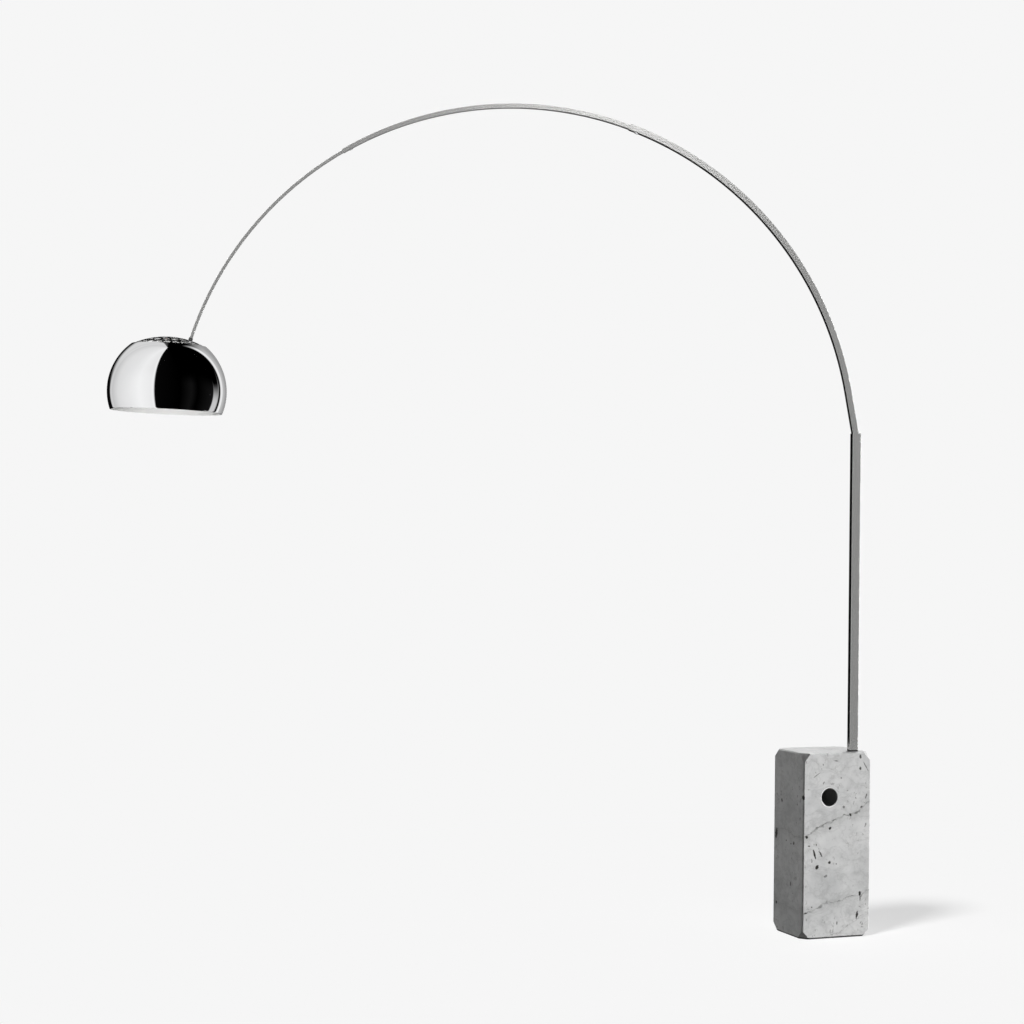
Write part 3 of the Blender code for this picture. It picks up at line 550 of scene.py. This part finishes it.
def channel_section(size):
    half = size["height"] / 2
    side = size["depth"] / 2
    wall = size["wall"]
    slot = size["slot"]
    outer = [(-half, -slot), (-half, -side), (half, -side), (half, side), (-half, side), (-half, slot)]
    inner = [(wall - half, slot), (wall - half, side - wall), (half - wall, side - wall)]
    inner += [(half - wall, wall - side), (wall - half, wall - side), (wall - half, -slot)]
    lip = wall * 0.3
    radii = [lip] + [CHANNEL_CORNER] * 4 + [lip, lip] + [wall * 0.35] * 4 + [lip]
    return rounded(outer + inner, radii)


def arc_stations(radius, start, end):
    """Places along an arc, at most half a degree apart."""
    steps = math.ceil(math.degrees(end - start) / 0.5)
    angles = [start + (end - start) * i / steps for i in range(steps + 1)]
    return [(radius * math.cos(a), radius * math.sin(a), a) for a in angles]


# ---------------------------------------------------------------- arm pieces

# Painted shade: how dark the inside of each channel is painted
LOWER_INSIDE_SHADE = 0.015
MIDDLE_INSIDE_SHADE = 0.09
END_INSIDE_SHADE = 0.25
BEND_STEPS = 12


def arcs():
    tang = TANG_X + ALONG.dot(SWIVEL - ARC_CENTRE)
    z = BEND_Z - ARC_CENTRE.z
    bent = [(tang, z - TANG_LENGTH + BEND_BELOW_TOP, 0)]
    for i in range(BEND_STEPS + 1):
        a = LEAN * i / BEND_STEPS
        bent.append((tang - BEND_R * (1 - math.cos(a)), z + BEND_R * math.sin(a), a))
    pieces = []
    for part, size, radius, stations, tone in (
        ("lower", LOWER, ARC_R, bent + arc_stations(ARC_R, LEAN, LOWER_MOUTH), LOWER_INSIDE_SHADE),
        ("middle", MIDDLE, MIDDLE_R, arc_stations(MIDDLE_R, MIDDLE_TAIL, MIDDLE_MOUTH), MIDDLE_INSIDE_SHADE),
        ("end", END, END_R, arc_stations(END_R, END_TAIL, TIP - TIP_STANDOFF / END_R), END_INSIDE_SHADE),
    ):
        # the second material is painted shade for the channel's inside
        looks = (LOOKS["satin_steel"], channel_shade_steel("unbrushed_" + part, tone))
        piece = new_piece("arc_" + part, swept(channel_section(size), stations), ARC, looks)
        darken_inside(piece, radius)
        soften(piece, 0.15 * MM)
        pieces.append(piece)
    return pieces


def darken_inside(piece, radius):
    """Give a channel's inner faces the second material, whose dark colour is painted shade."""
    for face in piece.data.polygons:
        outward = face.center - ARC_CENTRE
        side = outward.dot(NORMAL)
        outward -= NORMAL * side
        web = outward.length > radius and face.normal.dot(outward) < -0.3 * outward.length
        wall = face.normal.dot(NORMAL) * math.copysign(1, side) < -0.5
        if web or wall:
            face.material_index = 1


STEM_STRIP = 3.5 * MM   # width that the brushing gives to each strip of the stem's faces


def stem():
    w, d, t = STEM_W / 2, STEM_D / 2, STEM_WALL
    outer = rounded([(-w, -d), (w, -d), (w, d), (-w, d)], [STEM_CORNER] * 4, 6)
    inner = [(t - w, t - d), (w - t, t - d), (w - t, d - t), (t - w, d - t)]
    inner = rounded(inner, [STEM_CORNER / 2] * 4, 6)
    bm = bmesh.new()
    layer = bm.loops.layers.uv.new("UVMap")
    loops = []
    for outline, z in ((outer, STEM_FOOT), (outer, STEM_TOP), (inner, STEM_TOP), (inner, STEM_FOOT)):
        loops.append([bm.verts.new((x, y, z)) for x, y in outline])
    for low, high in zip(loops, loops[1:] + loops[:1]):
        for i in range(len(outer)):
            j = (i + 1) % len(outer)
            face = bm.faces.new((low[i], low[j], high[j], high[i]))
            for loop in face.loops:
                index = i if loop.vert in (low[i], high[i]) else i + 1
                loop[layer].uv = (loop.vert.co.z, index * STEM_STRIP)
    piece = new_piece("stem_tube", bm, ARM)
    even_normals(piece)
    return piece


# ---------------------------------------------------------------- shade

def polar_point(radius, angle):
    return (radius * math.sin(angle), radius * math.cos(angle))


def shell_loop(radius, wall, start, end, steps):
    """A spherical shell's profile with rounded edges."""
    angles = [start + (end - start) * i / steps for i in range(steps + 1)]
    outside = [polar_point(radius, a) for a in angles]
    inside = [polar_point(radius - wall, a) for a in reversed(angles)]
    edge = round_edge(radius - wall / 2, wall / 2, end, 1)
    top = round_edge(radius - wall / 2, wall / 2, start, -1)
    return outside + edge + inside + top[::-1]


def round_edge(middle, half, angle, way):
    """Half circle that closes a shell's edge, from its outside round to its inside."""
    points = []
    cx, cz = polar_point(middle, angle)
    for i in range(1, 6):
        a = math.pi * i / 6
        out = half * math.cos(a)
        past = half * math.sin(a) * way
        x = cx + out * math.sin(angle) + past * math.cos(angle)
        z = cz + out * math.cos(angle) - past * math.sin(angle)
        points.append((x, z))
    return points


def dome():
    looks = (LOOKS["polished_metal"], WHITE_LINING)
    profile = shell_loop(DOME_R, DOME_WALL, DOME_EDGE, DOME_RIM, 72)
    piece = new_piece("dome", revolved(profile, 180), HEAD, looks)
    middle = DOME_R - DOME_WALL * 0.6
    for face in piece.data.polygons:
        radial = face.center - SHADE_CENTRE
        if radial.length < middle and face.normal.dot(radial) < 0:
            face.material_index = 1


CROWN_STEPS = 16
FLANGE_STEPS = 12


def cap_surface(depth):
    """Profile of the crown and of the ball-shaped flange below it, this deep inside the outer one."""
    crown_r = CAP_R - depth
    centre = CAP_TOP - CAP_R
    flange_r = FLANGE_R - depth
    height = (flange_r ** 2 - crown_r ** 2 + centre ** 2) / (2 * centre)
    meet = math.sqrt(flange_r ** 2 - height ** 2)
    points = []
    for i in range(CROWN_STEPS + 1):
        a = math.asin(meet / crown_r) * i / CROWN_STEPS
        points.append((crown_r * math.sin(a), centre + crown_r * math.cos(a)))
    start = math.atan2(meet, height)
    for i in range(1, FLANGE_STEPS + 1):
        points.append(polar_point(flange_r, start + (CAP_RIM - start) * i / FLANGE_STEPS))
    return points


def vent_places():
    """Bearing and lean of each vent, apart from those that would run into the nipple's hole."""
    for radius, count, first in VENT_RINGS:
        for i in range(count):
            azimuth = math.radians(first + 360 * i / count)
            x, y = radius * math.cos(azimuth), radius * math.sin(azimuth)
            if math.hypot(x - NIPPLE_OFFSET, y) >= VENT_R + VENT_CLEAR:
                yield azimuth, math.asin(radius / CAP_R)


def apply_modifiers(piece):
    depsgraph = bpy.context.evaluated_depsgraph_get()
    mesh = bpy.data.meshes.new_from_object(piece.evaluated_get(depsgraph))
    piece.modifiers.clear()
    old = piece.data
    piece.data = mesh
    bpy.data.meshes.remove(old)


def cut(piece, bm, matrix):
    """Cut a bmesh's volume out of a piece."""
    mesh = bpy.data.meshes.new("cutter")
    bm.to_mesh(mesh)
    bm.free()
    mesh.transform(matrix)
    cutter = bpy.data.objects.new("cutter", mesh)
    bpy.context.scene.collection.objects.link(cutter)
    mod = piece.modifiers.new("cut", "BOOLEAN")
    mod.operation = "DIFFERENCE"
    mod.solver = "EXACT"
    mod.object = cutter
    bpy.context.view_layer.update()
    apply_modifiers(piece)
    bpy.data.objects.remove(cutter)
    weld(piece)


def weld(piece):
    """Close the hairline seams that a cut leaves."""
    bm = bmesh.new()
    bm.from_mesh(piece.data)
    bmesh.ops.remove_doubles(bm, verts=bm.verts, dist=0.01 * MM)
    bm.to_mesh(piece.data)
    bm.free()


CUTTER_TURN = 0.04      # radians, which keep a cutter's corners off the cap's own edges


def add_cutter(bm, radius, depth, place):
    place = place @ Matrix.Rotation(CUTTER_TURN, 4, "Z")
    bmesh.ops.create_cone(bm, cap_ends=True, segments=32, radius1=radius, radius2=radius, depth=depth,
                          matrix=place)


def perforated_cap():
    looks = (LOOKS["polished_metal"], WHITE_LINING)
    profile = cap_surface(0) + cap_surface(CAP_WALL)[::-1]
    piece = new_piece("perforated_cap", revolved(profile, 120), HEAD, looks)
    bm = bmesh.new()
    for azimuth, lean in vent_places():
        place = Matrix.Rotation(azimuth, 4, "Z") @ Matrix.Rotation(lean, 4, "Y")
        place = Matrix.Translation((0, 0, CAP_TOP - CAP_R)) @ place @ Matrix.Translation((0, 0, CAP_R))
        add_cutter(bm, VENT_R, 10 * MM, place)
    add_cutter(bm, NIPPLE_R + GAP, 20 * MM, HEAD.inverted() @ NIPPLE)
    cut(piece, bm, HEAD)
    up = HEAD.to_3x3() @ Vector((0, 0, 1))
    for face in piece.data.polygons:
        if face.normal.dot(up) < -0.5:
            face.material_index = 1
    aim_shell_normals(piece)


def aim_shell_normals(piece):
    """Give the crown and flange the true normals of their spheres, whatever the faces round the holes."""
    mesh = piece.data
    crown_centre = HEAD @ Vector((0, 0, CAP_TOP - CAP_R))
    up = HEAD.to_3x3() @ Vector((0, 0, 1))
    normals = [Vector(n.vector) for n in mesh.corner_normals]
    for face in mesh.polygons:
        middle = face.center
        from_shade = middle - SHADE_CENTRE
        on_crown = (middle - crown_centre).length > CAP_R - 2 * CAP_WALL and from_shade.dot(up) > CROWN_EDGE
        centre = crown_centre if on_crown else SHADE_CENTRE
        radial = (middle - centre).normalized()
        facing = face.normal.dot(radial)
        if abs(facing) < 0.85:      # the wall of a hole, or the rim
            for index in face.loop_indices:
                normals[index] = face.normal.copy()
            continue
        for index in face.loop_indices:
            point = mesh.vertices[mesh.loops[index].vertex_index].co
            normals[index] = (point - centre).normalized() * (1 if facing > 0 else -1)
    mesh.normals_split_custom_set(normals)


# ---------------------------------------------------------------- lampholder, bulb and small parts

def turned_piece(node, profile, radii, segments, matrix):
    """A revolved piece with rounded corners that stands for a CAD node."""
    new_piece(node, revolved(rounded(profile, radii), segments), matrix, smooth=30)


THREAD_PITCH = 3.6 * MM
THREAD_STEP = 0.7 * MM      # height of a thread's mesh rows
FLUTES = 24                 # grip round the lampholder's body
FLUTE_DEPTH = 0.45 * MM


def push_out(vert, distance):
    """Move a point away from the Z axis."""
    factor = 1 + distance / math.hypot(vert.co.x, vert.co.y)
    vert.co.x *= factor
    vert.co.y *= factor


def threaded(bm, radius, depth, low, high):
    """Press a rolled thread into the walls of a revolved shell that lie near this radius."""
    for vert in bm.verts:
        x, y, z = vert.co
        if abs(math.hypot(x, y) - radius) > 1.2 * MM or not low < z < high:
            continue
        turn = math.atan2(y, x) / (2 * math.pi)
        ease = min(1, (z - low) / THREAD_PITCH, (high - z) / THREAD_PITCH)
        push_out(vert, depth * ease * math.sin(2 * math.pi * (z / THREAD_PITCH - turn)))


def divided(points, step):
    """Extra points along the upright sides of a closed (radius, z) loop."""
    result = []
    for point, following in zip(points, points[1:] + points[:1]):
        result.append(point)
        length = math.dist(point, following)
        if abs(point[0] - following[0]) < 0.1 * MM and length > 2 * step:
            count = math.ceil(length / step)
            for i in range(1, count):
                result.append(tuple(Vector(point).lerp(Vector(following), i / count)))
    return result


def lampholder():
    """Cap, fluted body and thread shell; gives the height of the bulb's tip."""
    bore = NIPPLE_R + GAP
    top = -CAP_WALL - 0.45 * MM
    nut_top = top - 1.2 * MM - GAP
    lid = nut_top - 4.5 * MM - GAP
    wall = 2 * MM
    seam = lid - 18 * MM
    r = HOLDER_R
    profile = [(bore, lid), (11 * MM, lid), (r, lid - 7 * MM), (r, seam)]
    profile += [(r - wall, seam), (r - wall, lid - 8 * MM), (10 * MM, lid - wall), (bore, lid - wall)]
    radii = [0.3 * MM, 2.5 * MM, 4 * MM, 0.3 * MM, 0.3 * MM, 2 * MM, 1 * MM, 0.3 * MM]
    turned_piece("lampholder_cap", profile, radii, 72, NIPPLE)
    body_top = seam - GAP
    mouth = body_top - 45 * MM
    floor = body_top - 4 * MM
    tub = 15.8 * MM
    profile = [(0, floor), (r - wall, floor), (r - wall, body_top), (r, body_top), (r, mouth)]
    profile += [(tub, mouth), (tub, floor - 4 * MM), (0, floor - 4 * MM)]
    radii = [0, 0.5 * MM, 0.3 * MM, 0.3 * MM, 1.0 * MM, 1.0 * MM, 0.5 * MM, 0]
    bm = revolved(divided(rounded(profile, radii), 3 * MM), 120)
    for vert in bm.verts:
        x, y, z = vert.co
        if math.hypot(x, y) > r - 0.1 * MM and mouth + 6 * MM < z < body_top - 5 * MM:
            push_out(vert, -FLUTE_DEPTH * max(0, math.cos(FLUTES * math.atan2(y, x))))
    new_piece("lampholder_body", bm, NIPPLE, smooth=50)
    deck = floor - 4 * MM - GAP
    shell = [(13.6 * MM, deck - 25 * MM), (14.4 * MM, deck - 25 * MM), (14.4 * MM, deck), (13.6 * MM, deck)]
    bm = revolved(divided(shell, THREAD_STEP), 72)
    threaded(bm, 14 * MM, 0.28 * MM, deck - 24 * MM, deck - 2 * MM)
    new_piece("thread_shell", bm, NIPPLE, smooth=50)
    return deck - 2.5 * MM - GAP


def bulb(tip):
    contact = [(0, tip), (3.5 * MM, tip), (4.5 * MM, tip - 1.4 * MM), (0, tip - 1.4 * MM)]
    turned_piece("bulb_contact", contact, [0, 0.6 * MM, 0.2 * MM, 0], 48, NIPPLE)
    z = tip - 1.4 * MM - GAP
    insulator = [(0, z), (5 * MM, z), (7.7 * MM, z - 1.8 * MM), (7.7 * MM, z - 2.8 * MM), (0, z - 2.8 * MM)]
    turned_piece("bulb_insulator", insulator, [0, 0.8 * MM, 0.6 * MM, 0.2 * MM, 0], 48, NIPPLE)
    r = 13.2 * MM
    wall = 0.6 * MM
    shoulder = z - 5 * MM
    end = shoulder - 20 * MM
    shell = [(8 * MM, z - 2 * MM), (r, shoulder), (r, end), (r - wall, end)]
    shell += [(r - wall, shoulder - wall), (8 * MM, z - 2.8 * MM)]
    bm = revolved(divided(shell, THREAD_STEP), 72)
    threaded(bm, r - wall / 2, 0.25 * MM, end + 1 * MM, shoulder - 1 * MM)
    new_piece("bulb_cap", bm, NIPPLE, smooth=50)
    new_piece("bulb_glass", revolved(bulb_profile(end + 9 * MM, r - wall - GAP), 96), NIPPLE, smooth=60)


def bulb_profile(neck_top, neck_r):
    """Glass envelope: neck, flowing shoulder and ball, 1 mm thick and open at the neck."""
    wall = 1.0 * MM
    join = math.radians(38)
    join_r, join_z = BULB_R * math.sin(join), -BULB_CENTRE + BULB_R * math.cos(join)
    start = neck_top - 12 * MM
    outside = [(neck_r, neck_top), (neck_r, start)]
    for i in range(1, 16):
        t = i / 16
        ease = t * t * (3 - 2 * t) * 0.6 + t * 0.4
        outside.append((neck_r + (join_r - neck_r) * ease, start + (join_z - start) * t))
    for i in range(33):
        a = join + (math.pi - join) * i / 32
        outside.append((BULB_R * math.sin(a) if i < 32 else 0.0, -BULB_CENTRE + BULB_R * math.cos(a)))
    inside = [(0.0, outside[-1][1] + wall)]
    for radius, z in reversed(outside[:-1]):
        inside.append((max(radius - wall, 0), z + (wall if z < -BULB_CENTRE - BULB_R * 0.7 else 0)))
    return outside + inside


def seat_ring():
    profile = shell_loop(FLANGE_R + 1.5 * MM, 1.0 * MM, *RING_EDGES, 8)
    new_piece("dome_seat_ring", revolved(profile, 180), HEAD, smooth=50)


def grommet():
    """Rubber inlet with a rolled lip, at the back of the block."""
    low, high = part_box("cable_grommet")
    neck = 4.7 * MM
    lip = 2.3 * MM
    profile = [(3 * MM, -12 * MM), (neck, -12 * MM), (neck, GAP), (8 * MM, GAP), (8 * MM, lip), (3 * MM, lip)]
    radii = [0.5 * MM, 0.5 * MM, 0, 0.4 * MM, 1.2 * MM, 0.8 * MM]
    middle = (low + high) / 2
    place = Matrix.Translation((middle.x, high.y - lip, middle.z)) @ Matrix.Rotation(-math.pi / 2, 4, "X")
    turned_piece("cable_grommet", profile, radii, 64, place)


# What is left keeps its CAD shape, with edges rounded by this much, in mm
SOFT_EDGES = {
    "tip_collar": 0.5, "foot_gasket": 0.6, "tang_sleeve": 0.4, "foot_block": 0.4, "tip_plug": 0.3,
    "middle_clamp_screw": 0.25, "end_clamp_screw": 0.2, "middle_clamp_nut": 0.25, "end_clamp_nut": 0.2,
    "middle_slide_shoe": 0.2, "end_slide_shoe": 0.2, "foot_screw_1": 0.25, "foot_screw_2": 0.25,
    "tang_screw_1": 0.2, "tang_screw_2": 0.2, "anchor_washer": 0.4, "anchor_nut": 0.6, "tie_rod": 0.3,
    "head_washer": 0.2, "head_nut": 0.4, "centre_contact": 0.3,
}


def small_parts():
    return [softened_copy(node, SOFT_EDGES[node] * MM) for node in PARTS if node in SOFT_EDGES]


# ---------------------------------------------------------------- stage

BACKDROP = 0.921        # the plain surround and the lit floor
FLOOR_ALBEDO = 0.3
AMBIENT = 0.035         # what the surround gives to matt surfaces
SHADOW_DEPTH = 0.26     # how much of the floor's tone is the light that the block's shadow takes away
SURROUND_R = 40
FLOOR_R = 30
FLOOR_EDGE = (1.2, 2.4)     # distances between which the lit floor fades into the surround

# Studio by bearing, in degrees from +X towards +Y: level near the horizon, level overhead, and how
# high the lower one reaches, in degrees
PANELS = (
    (-180.0, 0.86, 0.84, 30), (-157.0, 0.97, 0.92, 30), (-132.0, 0.90, 0.84, 30), (-129.0, 0.95, 0.95, 30),
    (-127.0, 0.95, 0.95, 30), (-126.0, 0.002, 0.002, 30), (-76.0, 0.0, 0.0, 20), (-54.0, 0.006, 0.0, 20),
    (-40.0, 0.0, 0.0, 20), (-1.0, 0.008, 0.0, 8), (0.5, 0.62, 0.0, -8), (14.0, 0.62, 0.0, -8),
    (18.0, 0.003, 0.0, 20), (23.0, 0.003, 0.0, 45), (25.5, 0.88, 0.0, 58), (33.0, 0.88, 0.0, 56),
    (35.0, 0.58, 0.0, 48), (52.0, 0.36, 0.0, 44), (58.0, 0.34, 0.0, 40), (69.0, 0.34, 0.0, 36),
    (72.0, 0.002, 0.0, 30), (92.0, 0.002, 0.1, 34), (97.0, 0.002, 0.7, 30), (117.0, 0.002, 0.72, 14),
    (118.5, 0.60, 0.66, 20), (127.0, 0.66, 0.74, 30), (129.0, 0.58, 0.66, 30), (150.0, 0.76, 0.78, 30),
    (180.0, 0.86, 0.84, 30),
)
PANEL_BLUR = 12         # degrees over which the lower level fades into the one overhead


def by_bearing(w, turn, column, unit=1.0):
    """One column of PANELS, as a ramp round the studio; a colour ramp holds at most 32 stops."""
    return w.ramp(turn, *((panel[0] / 360 + 0.5, panel[column] * unit) for panel in PANELS))


def daylight_world():
    """Studio seen only in reflections: one pale side, one dark side, and a few bright strips."""
    world = bpy.data.worlds.new("studio")
    world.use_nodes = True
    bpy.context.scene.world = world
    w = Nodes(world.node_tree)
    way = w.split(w.add("ShaderNodeTexCoord").outputs["Generated"])
    turn = w.math("MULTIPLY_ADD", w.math("ARCTAN2", way["Y"], way["X"]), 0.5 / math.pi, 0.5)
    elevation = w.math("MULTIPLY", w.math("ARCSINE", way["Z"]), 180 / math.pi)
    # a ramp holds 0 to 1, so the heights are kept in hundreds of degrees
    reach = w.math("MULTIPLY", by_bearing(w, turn, 3, 0.01), 100)
    over = w.math("SUBTRACT", elevation, reach)
    fade = w.span(over, 0.0, 1.0, -PANEL_BLUR, PANEL_BLUR, "SMOOTHSTEP")
    level = w.mix(fade, by_bearing(w, turn, 1), by_bearing(w, turn, 2))
    w.links.new(level, w.nodes["Background"].inputs["Color"])
    world.cycles_visibility.diffuse = False


class StageShader(Shader):
    """A stage material under construction, with no principled surface."""

    def __init__(self, name):
        super().__init__(name)
        self.nodes.remove(self.bsdf)

    def glow(self, level):
        return self.add("ShaderNodeEmission", {"Color": (level, level, level, 1)}).outputs[0]

    def blend(self, fac, a, b):
        return self.add("ShaderNodeMixShader", {0: fac, 1: a, 2: b}).outputs[0]

    def by_ray(self, unseen, seen):
        """Glow with one level for the camera and another for every other ray."""
        camera_ray = self.add("ShaderNodeLightPath").outputs["Is Camera Ray"]
        return self.blend(camera_ray, self.glow(unseen), self.glow(seen))

    def stage_object(self, bm, surface):
        """A stage mesh with this surface."""
        self.links.new(surface, self.nodes["Material Output"].inputs["Surface"])
        name = self.mat.name
        mesh = bpy.data.meshes.new(name)
        bm.to_mesh(mesh)
        bm.free()
        mesh.materials.append(self.mat)
        obj = bpy.data.objects.new(name, mesh)
        obj.visible_glossy = False
        bpy.context.scene.collection.objects.link(obj)
        return obj


def add_surround():
    """Plain surround: bright to look at, dim as a source of light."""
    s = StageShader("surround")
    bm = bmesh.new()
    bmesh.ops.create_uvsphere(bm, u_segments=48, v_segments=24, radius=SURROUND_R)
    surround = s.stage_object(bm, s.by_ray(AMBIENT, BACKDROP))
    surround.visible_transmission = False
    surround.visible_shadow = False


def add_floor():
    """Pale floor of the surround's tone, which takes a soft shadow."""
    s = StageShader("floor")
    grain = s.bump(s.add("ShaderNodeTexNoise", {"Scale": 300.0}).outputs["Fac"], 0.02, 0.2 * MM)
    colour = (FLOOR_ALBEDO, FLOOR_ALBEDO, FLOOR_ALBEDO, 1)
    matt = s.add("ShaderNodeBsdfDiffuse", {"Color": colour, "Normal": grain}).outputs[0]
    glow = s.by_ray(0.0, BACKDROP - FLOOR_ALBEDO * AMBIENT - SHADOW_DEPTH)
    lit = s.add("ShaderNodeAddShader", {0: matt, 1: glow}).outputs[0]
    fade = s.span(s.vector("LENGTH", s.object), 0.0, 1.0, *FLOOR_EDGE, "SMOOTHSTEP")
    bm = bmesh.new()
    bmesh.ops.create_circle(bm, cap_ends=True, segments=96, radius=FLOOR_R)
    floor = s.stage_object(bm, s.blend(fade, lit, s.glow(BACKDROP)))
    floor.location.z = -0.2 * MM
    floor.visible_shadow = False
    floor.visible_diffuse = False
    return floor


# ---------------------------------------------------------------- lights

# Name, bearing, elevation, strength and spread of each sun, by what it lights
SUNS = {
    "lit_object": (("key", -47, 8, 3.85, 11), ("top", 50, 52, 4.3, 20), ("side_fill", 143, 5, 0.85, 12)),
    "lit_shade": (("under_fill", -105, -10, 2.4, 20), ("bowl_fill", -105, -52, 2.0, 50)),
    "lit_steel": (("steel_front", -95, 4, 0.27, 60), ("steel_high", -81, 33, 0.22, 28),
                  ("steel_right", -62, 7, 1.6, 16), ("steel_left", -117, 25, 0.8, 20),
                  ("steel_end", -8, -2, 0.3, 50)),
}
FLOOR_SUN = (-150, 42)  # bearing and elevation of the sun that casts the block's shadow
SHADE_PARTS = ("dome_", "perforated_cap_", "bulb_", "lampholder_", "thread_shell_", "head_", "centre_")


def receivers(name, pieces):
    """A collection that limits a light to these objects."""
    group = bpy.data.collections.new(name)
    for piece in pieces:
        group.objects.link(piece)
    return group


def toward(bearing, elevation):
    a, e = math.radians(bearing), math.radians(elevation)
    return Vector((math.cos(e) * math.cos(a), math.cos(e) * math.sin(a), math.sin(e)))


def add_sun(name, bearing, elevation, strength, spread, group, glossy=False):
    """A distant soft light that stands in this direction; spread is its width in degrees."""
    data = bpy.data.lights.new(name, "SUN")
    data.energy = strength
    data.angle = math.radians(spread)
    light = bpy.data.objects.new(name, data)
    light.rotation_euler = toward(bearing, elevation).to_track_quat("Z", "Y").to_euler()
    light.visible_camera = False
    light.visible_glossy = glossy
    bpy.context.scene.collection.objects.link(light)
    light.light_linking.receiver_collection = group
    return light


def add_lights(floor, base, steel, pieces):
    strength = SHADOW_DEPTH * math.pi / FLOOR_ALBEDO / math.sin(math.radians(FLOOR_SUN[1]))
    shadow = add_sun("floor_light", *FLOOR_SUN, strength, 14, receivers("lit_floor", [floor]))
    shadow.light_linking.blocker_collection = receivers("casts_on_floor", [base])
    shade = [piece for piece in pieces if piece.name.startswith(SHADE_PARTS)]
    for name, lit in (("lit_object", pieces), ("lit_shade", shade), ("lit_steel", steel)):
        group = receivers(name, lit)
        for sun in SUNS[name]:
            add_sun(*sun, group, glossy=lit is steel)


# ---------------------------------------------------------------- assembly

def main():
    bpy.context.scene.view_settings.view_transform = "Standard"
    add_camera()
    for node, part in PARTS.items():
        for slot in frame["nodes"][node].material_slots:
            slot.material = LOOKS[part["material_slot"]]
    base = softened_copy("marble_base", 0.6 * MM)
    steel = arcs() + [stem()]
    for piece in steel:
        piece.visible_glossy = False
    dome()
    perforated_cap()
    bulb(lampholder())
    seat_ring()
    grommet()
    steel += small_parts()
    pieces = [obj for obj in bpy.context.scene.objects if obj.type == "MESH"]
    add_surround()
    add_lights(add_floor(), base, steel, pieces)
    daylight_world()


main()
